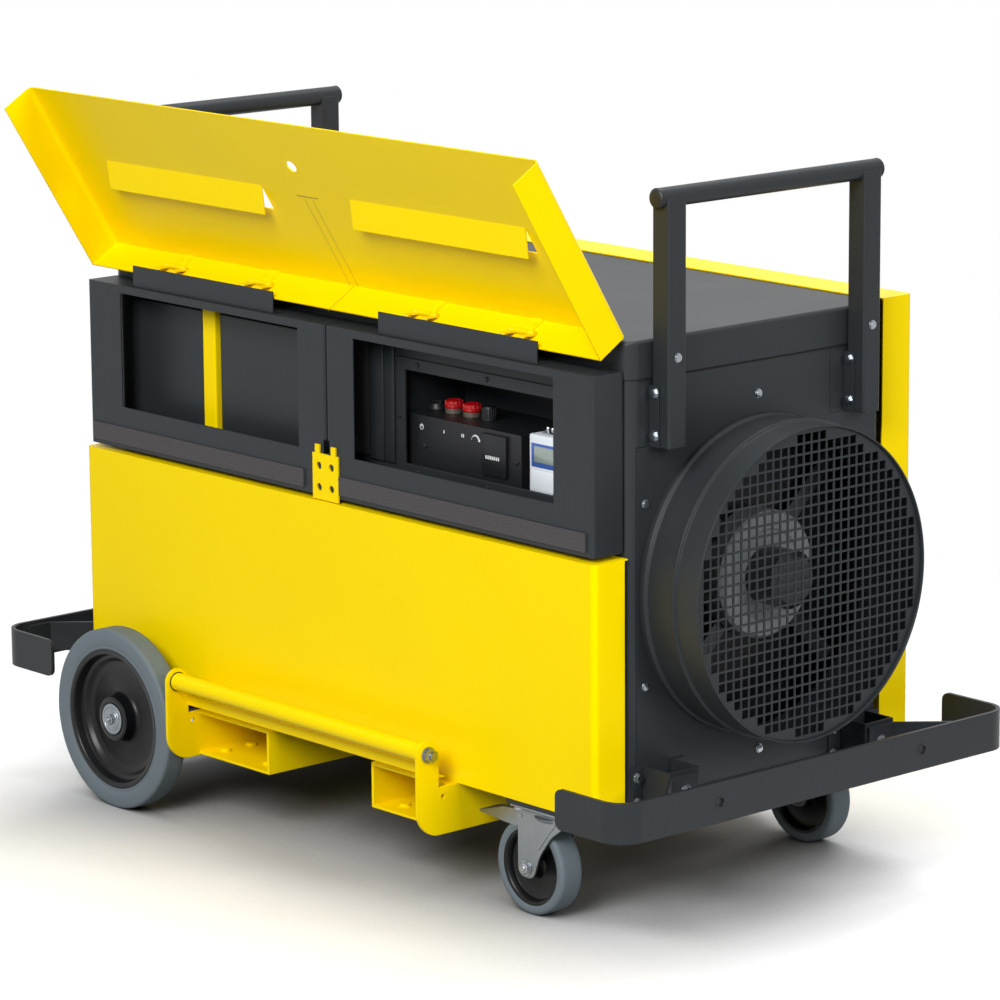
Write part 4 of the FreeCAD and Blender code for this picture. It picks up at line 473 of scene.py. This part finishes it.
CASTOR_RIM = [(6.2, -1.6), (13.5, -1.6), (15, -0.6), (16.4, 12), (19, 14.6), (44, 15.8), (48.6, 13),
              (51, 4), (53, 2.4), (56.4, 2.2), (56.4, 37.8), (53, 37.6), (51, 36), (48.6, 27), (44, 24.2),
              (19, 25.4), (16.4, 28), (15, 40.6), (13.5, 41.6), (6.2, 41.6)]


def wheel(side, sign, kind, tyre_profile, rim_profile, body, steps):
    """A tyre and its rim, each turned about the wheel's own axle from its outer side inwards."""
    low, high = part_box(f"{side}_{kind}_tyre")
    centre = middle_of(f"{side}_{kind}_tyre")
    centre.y += sign * (high[1] - low[1]) / 2
    for part, profile, material, slot in (("tyre", tyre_profile, tyre_rubber, "tyre_rubber"),
                                          ("rim", rim_profile, rim_plastic, "black_plastic")):
        bm = bmesh.new()
        lathe(bm, profile, centre, "y", steps, sign=-sign)
        made = piece_from(bm, f"{side}_{kind}_{part}_turned", material, body, smooth=40)
        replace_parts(made, f"{side}_{kind}_{part}")


for side, sign in SIDES:
    wheel(side, sign, "wheel", REAR_TYRE, REAR_RIM, f"{side}_rear_wheel", 128)
    wheel(side, sign, "castor", CASTOR_TYRE, CASTOR_RIM, f"{side}_castor_wheel", 96)


def hub_fittings():
    """Zinc washers, a lock ring and a nut over each end of the rear axle."""
    axle_end, washer_height = 384.5, 3.4
    washer = [(0, 0), (24, 0), (24, 1.2), (22.8, 1.8), (19.5, 1.9), (19, 1.2), (17.4, 1.2), (16.8, 2.2),
              (13.6, 2.4), (13, 3.2), (9.6, washer_height), (0, washer_height)]
    nut = [(0, 0), (8.6, 0), (8.6, 3.4), (7.2, 4.4), (0, 4.4)]
    thread = [(0, 4.4), (4.2, 4.4), (4.2, 6.4), (3.4, 7.2), (0, 7.2)]
    bm = bmesh.new()
    for side, sign in SIDES:
        centre = middle_of(f"{side}_wheel_tyre")
        centre.y = sign * axle_end * MM
        lathe(bm, washer, centre, "y", 48, closed=False, sign=sign)
        seat = centre + Vector((0, sign * washer_height, 0)) * MM
        lathe(bm, nut, seat, "y", 6, closed=False, sign=sign)
        lathe(bm, thread, seat, "y", 24, closed=False, sign=sign)
    made = piece_from(bm, "hub_washers_and_nuts", pressed_zinc, "frame", smooth=25)
    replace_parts(made, "axle_caps")


hub_fittings()


def fan_hub():
    """Cast hub drum of the impeller with a stepped face; it shows through the grille beside the motor."""
    behind_panel = 17.8
    drum = [(9, 0), (92, 0), (92, 34), (88, 38), (66, 38), (63, 35.5), (42, 35.5), (38, 40), (9, 40)]
    start = Vector((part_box("outlet_panel")[1][0] - behind_panel * MM, middle_of("fan_impeller").y,
                    middle_of("outlet_duct").z))
    bm = bmesh.new()
    lathe(bm, drum, start, "x", 72)
    piece_from(bm, "fan_hub_drum", cast_aluminium, "fan")


fan_hub()


# ---------------------------------------------------------------- castors

# How far behind the swivel the pedal's pin and the wheel's axle lie, and their heights over the floor.
PIN_TRAIL, AXLE_TRAIL = 50, 40
PEDAL_PIVOT_Z, AXLE_Z = 145.2, 70
# Corner points and rounding of a fork's cheek, as x from the swivel's centre and z over the floor.
CHEEK = [(-57, 56), (-25, 56), (-12, 92), (12, 124), (36, 142), (36, 154.6), (-62, 154.6), (-62, 143),
         (-57, 126)]
CHEEK_RADII = [13.9, 13.9, 60, 40, 5, 1.5, 1.5, 5, 16]
# A shallow raised panel that stiffens each cheek.
CHEEK_RIB = [(-14, 100), (8, 128), (22, 144), (22, 150), (-20, 150), (-20, 128)]
CHEEK_RIB_RADII = [2, 14, 3, 2.4, 2.4, 10]


def castor_places(side):
    """x of a castor's swivel and y of its middle, in millimetres."""
    low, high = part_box(f"{side}_castor_rim")
    return middle_of("castor_plates").x / MM, (low[1] + high[1]) / 2 / MM


def castor_fork(side):
    """Pressed fork: waisted cheeks with raised panels, a crown, an axle with nuts and the pedal's pin."""
    swivel, middle = castor_places(side)
    inner, outer, panel = 22.5, 26, 27.1
    sheet = bmesh.new()
    outline = rounded_outline([(swivel + x, z) for x, z in CHEEK], CHEEK_RADII)
    rib = rounded_outline([(swivel + x, z) for x, z in CHEEK_RIB], CHEEK_RIB_RADII)
    for way in (-1, 1):
        extruded(sheet, outline, middle + way * inner, middle + way * outer, "y")
        extruded(sheet, rib, middle + way * outer, middle + way * panel, "y")
    block(sheet, (swivel - 61.5, middle - 25.8, 150.8), (swivel + 35.6, middle + 25.8, 154.6), 1.6, 3)
    race = Vector((swivel, middle, 0)) * MM
    lathe(sheet, [(6.2, 145.2), (29, 145.2), (33, 147.6), (34.5, 150.9), (6.2, 150.9)], race, "z", 48)
    fork = piece_from(sheet, f"{side}_fork_pressed", pressed_zinc, f"{side}_castor")
    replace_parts(fork, f"{side}_castor_fork")

    bm = bmesh.new()
    axle = Vector((swivel - AXLE_TRAIL, middle, AXLE_Z)) * MM
    washer = [(0, 26.1), (11.2, 26.1), (11.2, 27.4), (0, 27.4)]
    nut = [(0, 27.4), (9.2, 27.4), (9.2, 31.4), (8, 32.6), (0, 32.6)]
    thread = [(0, 32.6), (4.8, 32.6), (4.8, 33.2), (4, 33.8), (0, 33.8)]
    for way in (-1, 1):
        for profile, steps in ((washer, 32), (nut, 6), (thread, 24)):
            lathe(bm, profile, axle, "y", steps, closed=False, sign=way)
    lathe(bm, [(0, -26.2), (5.9, -26.2), (5.9, 26.2), (0, 26.2)], axle, "y", 24, closed=False)
    pin = Vector((swivel - PIN_TRAIL, middle, PEDAL_PIVOT_Z)) * MM
    lathe(bm, [(0, -28.4), (2.2, -28.4), (2.2, 28.4), (0, 28.4)], pin, "y", 16, closed=False)
    piece_from(bm, f"{side}_castor_axle_bolt", zinc, f"{side}_castor", smooth=25)


def castor_plates():
    """Top plates with their upper ball races, and four bolts in each."""
    half_length, half_width, bottom, top = 57, 42, 161.1, 164.9
    upper_race = [(0, 155.1), (29, 155.1), (31.4, 156.4), (31.8, 158.6), (34, 161.2), (0, 161.2)]
    bm = bmesh.new()
    bolts = []
    for side, _ in SIDES:
        swivel, middle = castor_places(side)
        block(bm, (swivel - half_length, middle - half_width, bottom),
              (swivel + half_length, middle + half_width, top), 1.6, 3)
        lathe(bm, upper_race, Vector((swivel, middle, 0)) * MM, "z", 48, closed=False)
        bolts += [((swivel + x, middle + y, 161), (0, 0, -1)) for x in (-47, 47) for y in (-33, 33)]
    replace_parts(piece_from(bm, "castor_top_plates", pressed_zinc, "frame"), "castor_plates")
    heads("castor_plate_bolts", HEX_TREE, bolts, PLATE_BOLT, zinc, "frame")


# The pedal's tread and flange from the side, as x and z from the pivot. TREAD_DROP is the tread's thickness.
TREAD = [(4, 1.2), (-18, 3.4), (-40, 2.2), (-62, -3), (-82, -10.5), (-94, -13.2), (-98, -12.2)]
TREAD_DROP = 2.4
FLANGE = [(6, 2.5), (-20, 5), (-44, 3), (-84, -9), (-97, -12), (-95, -15), (-70, -16), (-44, -19),
          (-18, -20), (6, -6)]
FLANGE_RADII = [4, 20, 20, 10, 1.4, 1.4, 20, 20, 10, 4]


def brake_pedal(side):
    """Pressed foot pedal: a curved tread between two flanges, and the pivot's barrel."""
    middle = castor_places(side)[1]
    pivot_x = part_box(f"{side}_castor_pedal")[1][0] / MM - 4.2
    half_tread, flange_width, half_barrel = 17.8, 2.2, 21.2
    bm = bmesh.new()
    under = [(x, z - TREAD_DROP) for x, z in reversed(TREAD)]
    tread = [(pivot_x + x, PEDAL_PIVOT_Z + z) for x, z in TREAD + under]
    extruded(bm, tread, middle - half_tread, middle + half_tread, "y")
    flange = rounded_outline([(pivot_x + x, PEDAL_PIVOT_Z + z) for x, z in FLANGE], FLANGE_RADII)
    for way in (-1, 1):
        inner = middle + way * half_tread
        extruded(bm, flange, inner, inner + way * flange_width, "y")
    barrel = Vector((pivot_x, middle - half_barrel, PEDAL_PIVOT_Z)) * MM
    lathe(bm, [(2.3, 0), (4.2, 0), (4.2, 42.4), (2.3, 42.4)], barrel, "y", 20)
    made = piece_from(bm, f"{side}_brake_pedal_pressed", pressed_zinc, f"{side}_brake_pedal")
    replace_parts(made, f"{side}_castor_pedal")


for side, _ in SIDES:
    castor_fork(side)
    brake_pedal(side)
castor_plates()


# ---------------------------------------------------------------- roller and fork pockets

def roller_end_shade_rings():
    """Painted shade: black rings in the gaps between the roller's ends and the plates beside them, where the
    shade falls.
    """
    low, high = (Vector(corner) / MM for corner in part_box("roller_tube"))
    middle = (low + high) / 2
    ring = [(6.1, 0.1), (14.6, 0.1), (15, 0.5), (14.6, 1.3), (6.1, 1.3)]
    bm = bmesh.new()
    for sign, end in ((-1, low.x), (1, high.x)):
        lathe(bm, ring, Vector((end, middle.y, middle.z)) * MM, "x", 40, sign=sign)
    piece_from(bm, "roller_end_shade_rings", black_plastic, "frame")


def roller_guard_rail():
    """The angle rail behind the roller, between the pockets' end plates."""
    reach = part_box("fork_pockets")[1][0] / MM - 5.1
    angle = [(-335, 184), (-335, 186.4), (-349.6, 186.4), (-349.6, 200), (-352, 200), (-352, 185.4),
             (-350.6, 184)]
    bm = bmesh.new()
    extruded(bm, angle, -reach, reach, "x")
    piece_from(bm, "roller_guard_rail", yellow_coat, "frame")


def pocket_floor_bolts():
    """Carriage bolts on the pockets' floors."""
    floor_z, upwards = 108.2, (0, 0, 1)
    places = [((sign * x, y, floor_z), upwards)
              for sign in (-1, 1) for x in (158, 262) for y in (-300, -250, 250, 300)]
    heads("pocket_floor_bolts", ROUND_TREE, places, CARRIAGE_BOLT, yellow_coat, "frame")


roller_end_shade_rings()
roller_guard_rail()
pocket_floor_bolts()


# ---------------------------------------------------------------- rubber edging, painted shade in seams and slots, and lid details

def ribbed_strips():
    """Rubber edging under the windows with fine ribs along it, broken where the latch plate stands."""
    low, high = ([value / MM for value in corner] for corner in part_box("edge_strips"))
    spans = [(low[0], -51), (30, high[0])]
    front, back, bottom, top = low[1], high[1], low[2], high[2]
    ribs, groove = 9, 0.5
    step = (top - bottom) / ribs
    outline = [(back, bottom), (front + 0.4, bottom)]
    for i in range(ribs):
        start = bottom + (top - bottom) * i / ribs
        outline += [(front + groove, start + 0.1 * step), (front, start + 0.3 * step),
                    (front, start + 0.8 * step), (front + groove, start + step)]
    outline += [(front + 0.4, top), (back, top)]
    bm = bmesh.new()
    for start, end in spans:
        extruded(bm, outline, start, end, "x")
    made = piece_from(bm, "ribbed_edging", edging_rubber, "frame", smooth=20)
    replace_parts(made, "edge_strips")


ribbed_strips()


def add_deck_seam_shade():
    """Painted shade: a thin very dark strip in the seam between the deck's skirt and each end panel."""
    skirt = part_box("top_cover")[0][2] / MM
    half_width, thickness = 232, 0.9
    bm = bmesh.new()
    for node, sign, corner in (("outlet_panel", 1, 1), ("inlet_panel", -1, 0)):
        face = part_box(node)[corner][0] / MM
        ends = sorted((face, face + sign * thickness))
        block(bm, (ends[0], -half_width, skirt - 2.6), (ends[1], half_width, skirt - 0.2))
    piece_from(bm, "deck_seam_shade", seam_shade, "frame")


add_deck_seam_shade()


def door_trim():
    """Painted shade: a very dark strip in the slot beside the doors; and the two plain strips beside the
    control frame.
    """
    back, bottom, top, edge = -250.2, 600, 785.4, 0.8
    bm = bmesh.new()
    block(bm, (-9, -254.5, 604), (33, back, 786), edge)
    piece_from(bm, "door_slot_shade", seam_shade, "frame")
    bm = bmesh.new()
    block(bm, (36, -255, bottom), (66, back, top), edge)
    block(bm, (67.5, -254, bottom), (89, back, top), edge)
    piece_from(bm, "door_side_strip", dark_coat, "frame")


door_trim()


def lid_lines():
    """Painted shade: darker yellow strips for the score lines and the short slit on the inner side of the
    lid, drawn with the lid closed.
    """
    inner = -311.9
    bm = bmesh.new()
    for x in (-9, 9):
        block(bm, (x - 0.5, inner - 0.2, 682), (x + 0.5, inner + 0.15, 840))
    block(bm, (-24, inner - 0.2, 676), (24, inner + 0.2, 678.4))
    block(bm, (-0.6, -312, 839.6), (0.6, -253.6, 840.1))
    turned_with_lid(bm)
    piece_from(bm, "lid_score_line_shade", score_shade, "lid_body")


lid_lines()


def hinge_rivets():
    """Pairs of small yellow rivets that hold the hinge leaves, seen inside the lid's fold."""
    spin = Matrix.Rotation(LID_ANGLE, 4, "X")
    downwards = Vector((0, 0, -1))
    places = []
    for x in (-387, -181, 191.5, 397.5):
        for step in (-7, 7):
            point = Vector((x + step, -300, 837.9)) * MM
            moved = HINGE + spin @ (point - HINGE)
            places.append((moved / MM, spin @ downwards))
    heads("hinge_rivets", ROUND_TREE, places, HINGE_RIVET, yellow_coat, "lid_body")


hinge_rivets()


# ---------------------------------------------------------------- handles

def handle_caps():
    """Domed plastic caps in the ends of the grab bars."""
    bar_height = 1036
    dome = [(0, -1), (14.2, -1), (14.4, 0), (14.2, 1.4), (12.8, 3), (9.5, 4.2), (5, 4.9), (0, 5.1)]
    bm = bmesh.new()
    for node in ("outlet_end_handle", "inlet_end_handle"):
        low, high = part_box(node)
        for sign, end in ((-1, low[1]), (1, high[1])):
            at = Vector(((low[0] + high[0]) / 2, end, bar_height * MM))
            lathe(bm, dome, at, "y", 40, closed=False, sign=sign)
    piece_from(bm, "grab_bar_caps", black_plastic, "frame")


handle_caps()


def bumper_plugs():
    """Dished rubber plugs in the two holes of each bumper's bar."""
    hole_y = 202
    dish = [(0, -2.5), (5.6, -2.5), (6.2, 0.2), (7, 0.9), (8.8, 0.9), (9.2, 0.5), (9.2, 0), (6.8, 0),
            (6.6, -3.3), (0, -3.3)]
    bm = bmesh.new()
    for node, sign, corner in (("outlet_end_bumper", 1, 1), ("inlet_end_bumper", -1, 0)):
        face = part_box(node)[corner][0]
        height = middle_of(node).z
        for y in (-hole_y, hole_y):
            lathe(bm, dish, Vector((face, y * MM, height)), "x", 40, closed=False, sign=sign)
    piece_from(bm, "bumper_hole_plugs", black_plastic, "frame")


bumper_plugs()


# ---------------------------------------------------------------- controls

# Top and face of the control box, and the line along which the controls stand.
BOX_TOP = corners_of("control_box")[1][2]
BOX_FACE = corners_of("control_box")[0][1]
CONTROL_LINE = -190
SWITCH_X = 112
LAMPS_X = (149, 188)
KNOB_X = 225


def grip_ribs(bm, centre_x, circle, count, lift, profile):
    """Small upright ribs spaced round a control."""
    for i in range(count):
        angle = math.radians(360 / count * i)
        x, y = centre_x + circle * math.cos(angle), CONTROL_LINE + circle * math.sin(angle)
        lathe(bm, profile, Vector((x, y, BOX_TOP + lift)) * MM, "z", 8, closed=False)


def rotary_switch():
    """Main switch: a stepped round base with a finger bar across it."""
    base = [(0, 0.4), (13, 0.4), (13.4, 1.2), (13, 4.6), (12.2, 5.6), (11.6, 9.5), (10.6, 10.6), (0, 10.8)]
    bm = bmesh.new()
    lathe(bm, base, Vector((SWITCH_X, CONTROL_LINE, BOX_TOP)) * MM, "z", 40, closed=False)
    block(bm, (SWITCH_X - 10, CONTROL_LINE - 3.4, BOX_TOP + 10),
          (SWITCH_X + 10, CONTROL_LINE + 3.4, BOX_TOP + 15), 1.4, 3)
    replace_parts(piece_from(bm, "rotary_switch", black_plastic, "switch"), "main_switch")


def ribbed_knob():
    """Speed knob: a tall turned body on a collar, with ribs for the grip."""
    body = [(0, 0.4), (12, 0.4), (12, 2.6), (10.6, 3.4), (9.8, 18.4), (9, 20.4), (7.4, 21), (0, 21)]
    bm = bmesh.new()
    lathe(bm, body, Vector((KNOB_X, CONTROL_LINE, BOX_TOP)) * MM, "z", 36, closed=False)
    grip_ribs(bm, KNOB_X, 10.4, 18, 3, [(0, 0), (0.9, 0), (0.6, 15.6), (0, 16)])
    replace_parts(piece_from(bm, "ribbed_knob", black_plastic, "knob"), "speed_knob")


def indicator_lamps():
    """Two lamps: a smoked body under a red cap with a ribbed rim and a ringed top."""
    body = [(0, 0), (12.4, 0), (13.2, 0.8), (13.2, 7.4), (12.2, 8.4), (0, 8.4)]
    cap = [(0, 8.4), (13.6, 8.4), (14.2, 9.4), (14.2, 12.4), (13.2, 13.4), (12.6, 14), (12.2, 18),
           (10.6, 19.6), (10.2, 19), (9.2, 17.6), (6.4, 17.2), (5.6, 18.6), (3.4, 19.4), (0, 19.6)]
    bodies, lenses = bmesh.new(), bmesh.new()
    for x in LAMPS_X:
        at = Vector((x, CONTROL_LINE, BOX_TOP)) * MM
        lathe(bodies, body, at, "z", 36, closed=False)
        lathe(lenses, cap, at, "z", 40, closed=False)
        grip_ribs(lenses, x, 12.6, 14, 12, [(0, 0), (1.1, 0), (0.9, 6.6), (0, 7.2)])
    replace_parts(piece_from(bodies, "lamp_bodies", lamp_body, "frame"), "lamp_bases")
    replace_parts(piece_from(lenses, "lamp_caps", lens_red, "frame"), "lamp_lenses")


def blank_plate():
    """The bare black plate on the control box's face."""
    bm = bmesh.new()
    block(bm, (264, BOX_FACE - 5, 608), (316, BOX_FACE + 0.5, 668), 1.0)
    piece_from(bm, "blank_plate", black_plastic, "frame")


def printed_marks():
    """Generic marks: a power symbol, a one, a two, a swelling speed arc, and plain bars on the plate."""
    proud, sunk = BOX_FACE - 0.4, BOX_FACE + 0.1
    bm = bmesh.new()
    ring = Vector((129, BOX_FACE - 0.15, 657)) * MM
    lathe(bm, [(3.1, 0), (4.0, 0), (4.0, 0.3), (3.1, 0.3)], ring, "y", 24, sign=-1)
    block(bm, (128.5, BOX_FACE - 0.5, 657), (129.5, BOX_FACE - 0.1, 662.4))
    stroke = 1.8
    for x in (177, 216, 219.4):
        block(bm, (x, proud, 654), (x + stroke, sunk, 659))
    arc_x, arc_z, arc_radius, dots = 246, 652, 8.6, 9
    for i in range(dots):
        angle = math.radians(15 + 18.75 * i)
        x, z = arc_x + arc_radius * math.cos(angle), arc_z + arc_radius * math.sin(angle)
        size = 0.5 + 0.16 * (dots - 1 - i)
        block(bm, (x - size, proud, z - size), (x + size, sunk, z + size))
    for i in range(7):
        block(bm, (273 + 4.4 * i, BOX_FACE - 5.3, 632), (275.6 + 4.4 * i, BOX_FACE - 4.9, 637))
    piece_from(bm, "printed_marks", white_ink, "frame")


def energy_meter():
    """White plug-on meter with a blue bezel, a display, a lower panel and metal terminals on top."""
    low, high = (Vector(c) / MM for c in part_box("energy_meter"))
    face = low.y
    bm = bmesh.new()
    block(bm, (low.x, face + 1.5, low.z), (high.x, high.y, high.z), 3.2, 3)
    block(bm, (low.x + 4, face + 0.4, low.z + 4), (high.x - 4, face + 4, high.z - 4), 1.2)
    block(bm, (low.x + 6, face - 0.2, low.z + 8), (high.x - 6, face + 2, low.z + 37), 0.8)
    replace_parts(piece_from(bm, "meter_housing", white_plastic, "frame"), "energy_meter")
    bm = bmesh.new()
    block(bm, (low.x + 7, face - 0.3, low.z + 42), (high.x - 6, face + 1, high.z - 12), 0.6)
    piece_from(bm, "meter_bezel", blue_film, "frame")
    bm = bmesh.new()
    block(bm, (low.x + 13, face - 0.8, low.z + 49), (high.x - 12, face + 0.5, high.z - 16), 0.5)
    piece_from(bm, "meter_display", lcd_glass, "frame")
    terminal = [(0, 0), (3.4, 0), (3.4, 6), (2.6, 7.4), (0, 7.4)]
    bm = bmesh.new()
    block(bm, (low.x + 16, face + 12, high.z), (low.x + 34, face + 30, high.z + 3), 0.8)
    for x in (low.x + 20, low.x + 30):
        lathe(bm, terminal, Vector((x, face + 21, high.z + 2)) * MM, "z", 16, closed=False)
    piece_from(bm, "meter_terminals", zinc, "frame")


rotary_switch()
ribbed_knob()
indicator_lamps()
blank_plate()
printed_marks()
energy_meter()


# ---------------------------------------------------------------- floor, light and camera

# The floor's half side in metres, and where its shadowed middle begins and ends its passage to plain white.
FLOOR_REACH = 30
FADE_START, FADE_END = 0.9, 1.9
# How far the painted shade under the machine spreads in metres: ambient occlusion darkens the floor's colour
# within this reach.
PAINTED_SHADE_REACH = 0.32
# Each lamp: its name, place, aim and side in metres, power in watts, and whether reflections show it.
SOFTBOXES = [
    ("key_softbox", (2.6, -5.4, 4.2), (0, 0, 0.5), 3.2, 510, True),
    ("side_softbox", (6.2, 0.6, 3.2), (0, 0, 0.6), 2.6, 235, False),
    ("overhead_softbox", (-0.4, 1.4, 5.4), (0, 0, 0.8), 2.2, 160, True),
    ("rear_softbox", (-2.6, 5.8, 3.4), (0, 0, 0.5), 3.0, 230, False),
]
# The camera's direction and roll in degrees, what it looks at and how far it stands off, and its lens.
VIEW_AZIMUTH, VIEW_HEIGHT, VIEW_ROLL = 48.44, 12.01, -0.4
VIEW_CENTRE = (7.65, 22.2, 492.3)
VIEW_DISTANCE = 6939.2
LENS, SENSOR_WIDTH = 165.83, 36


def seen_ray(tree):
    """One for a ray that shows the background: to the camera, in a reflection or through clear plastic."""
    light = add(tree, "ShaderNodeLightPath").outputs
    either = add(tree, "ShaderNodeMath", {0: light["Is Camera Ray"], 1: light["Is Glossy Ray"]},
                 operation="MAXIMUM")
    whole = add(tree, "ShaderNodeMath", {0: either.outputs[0], 1: light["Is Transmission Ray"]},
                operation="MAXIMUM")
    return whole.outputs[0]


def studio_floor():
    """A large pale floor that takes the lamps' shadow and painted shade near the machine, and passes into
    plain white further out.
    """
    mat = bpy.data.materials.new("pale_studio_floor")
    mat.use_nodes = True
    tree = mat.node_tree
    tree.nodes.clear()
    out = add(tree, "ShaderNodeOutputMaterial")
    place = add(tree, "ShaderNodeTexCoord").outputs["Object"]
    reach = add(tree, "ShaderNodeVectorMath", {0: place}, operation="LENGTH")
    fade = add(tree, "ShaderNodeMapRange", {"Value": reach.outputs["Value"]}, interpolation_type="SMOOTHSTEP",
               From_Min=FADE_START, From_Max=FADE_END)
    # Painted shade: ambient occlusion darkens the floor's colour near the machine.
    near = add(tree, "ShaderNodeAmbientOcclusion", samples=16, Distance=PAINTED_SHADE_REACH,
               Color=(0.92, 0.92, 0.92, 1))
    depth = add(tree, "ShaderNodeGamma", {"Color": near.outputs["Color"]}, Gamma=0.95)
    lit = add(tree, "ShaderNodeBsdfDiffuse", {"Color": depth.outputs["Color"]})
    white = add(tree, "ShaderNodeEmission", Color=(1, 1, 1, 1), Strength=1.0)
    seen = add(tree, "ShaderNodeMixShader",
               {0: fade.outputs["Result"], 1: lit.outputs[0], 2: white.outputs[0]})
    grey = add(tree, "ShaderNodeBsdfDiffuse", Color=(0.24, 0.24, 0.24, 1))
    pick = add(tree, "ShaderNodeMixShader", {0: seen_ray(tree), 1: grey.outputs[0], 2: seen.outputs[0]})
    tree.links.new(pick.outputs[0], out.inputs["Surface"])
    bm = bmesh.new()
    bmesh.ops.create_grid(bm, x_segments=1, y_segments=1, size=FLOOR_REACH)
    mesh = bpy.data.meshes.new("studio_floor")
    bm.to_mesh(mesh)
    bm.free()
    mesh.materials.append(mat)
    ground = bpy.data.objects.new("studio_floor", mesh)
    bpy.context.scene.collection.objects.link(ground)


def studio_world():
    """White for the camera, in reflections and through clear plastic, and dim for everything else."""
    world = bpy.data.worlds.new("studio")
    bpy.context.scene.world = world
    world.use_nodes = True
    tree = world.node_tree
    tree.nodes.clear()
    out = add(tree, "ShaderNodeOutputWorld")
    dim = add(tree, "ShaderNodeBackground", Color=(0.92, 0.96, 1.0, 1), Strength=0.16)
    white = add(tree, "ShaderNodeBackground", Color=(1, 1, 1, 1), Strength=1.0)
    pick = add(tree, "ShaderNodeMixShader", {0: seen_ray(tree), 1: dim.outputs[0], 2: white.outputs[0]})
    tree.links.new(pick.outputs[0], out.inputs["Surface"])


def softbox(name, place, aim, size, power, mirrored):
    """A square area lamp at one place, turned towards another; mirrored says whether reflections show it."""
    lamp = bpy.data.lights.new(name, "AREA")
    lamp.size = size
    lamp.energy = power
    item = bpy.data.objects.new(name, lamp)
    bpy.context.scene.collection.objects.link(item)
    item.visible_glossy = mirrored
    item.location = place
    item.rotation_euler = (Vector(aim) - Vector(place)).to_track_quat("-Z", "Y").to_euler()


def camera():
    """A long lens at the side with the lid, a little above the machine."""
    azimuth, height, roll = (math.radians(angle) for angle in (VIEW_AZIMUTH, VIEW_HEIGHT, VIEW_ROLL))
    back = Vector((math.sin(azimuth) * math.cos(height), -math.cos(azimuth) * math.cos(height),
                   math.sin(height)))
    right = (-back).cross(Vector((0, 0, 1))).normalized()
    up = right.cross(-back)
    across = right * math.cos(roll) + up * math.sin(roll)
    upward = up * math.cos(roll) - right * math.sin(roll)
    data = bpy.data.cameras.new("camera")
    data.sensor_width = SENSOR_WIDTH
    data.lens = LENS
    data.clip_end = 60
    item = bpy.data.objects.new("camera", data)
    bpy.context.scene.collection.objects.link(item)
    item.matrix_world = Matrix((across, upward, back)).transposed().to_4x4()
    item.location = Vector(VIEW_CENTRE) * MM + back * VIEW_DISTANCE * MM
    bpy.context.scene.camera = item


studio_floor()
studio_world()
for lamp in SOFTBOXES:
    softbox(*lamp)
camera()
bpy.context.scene.view_settings.view_transform = "Standard"
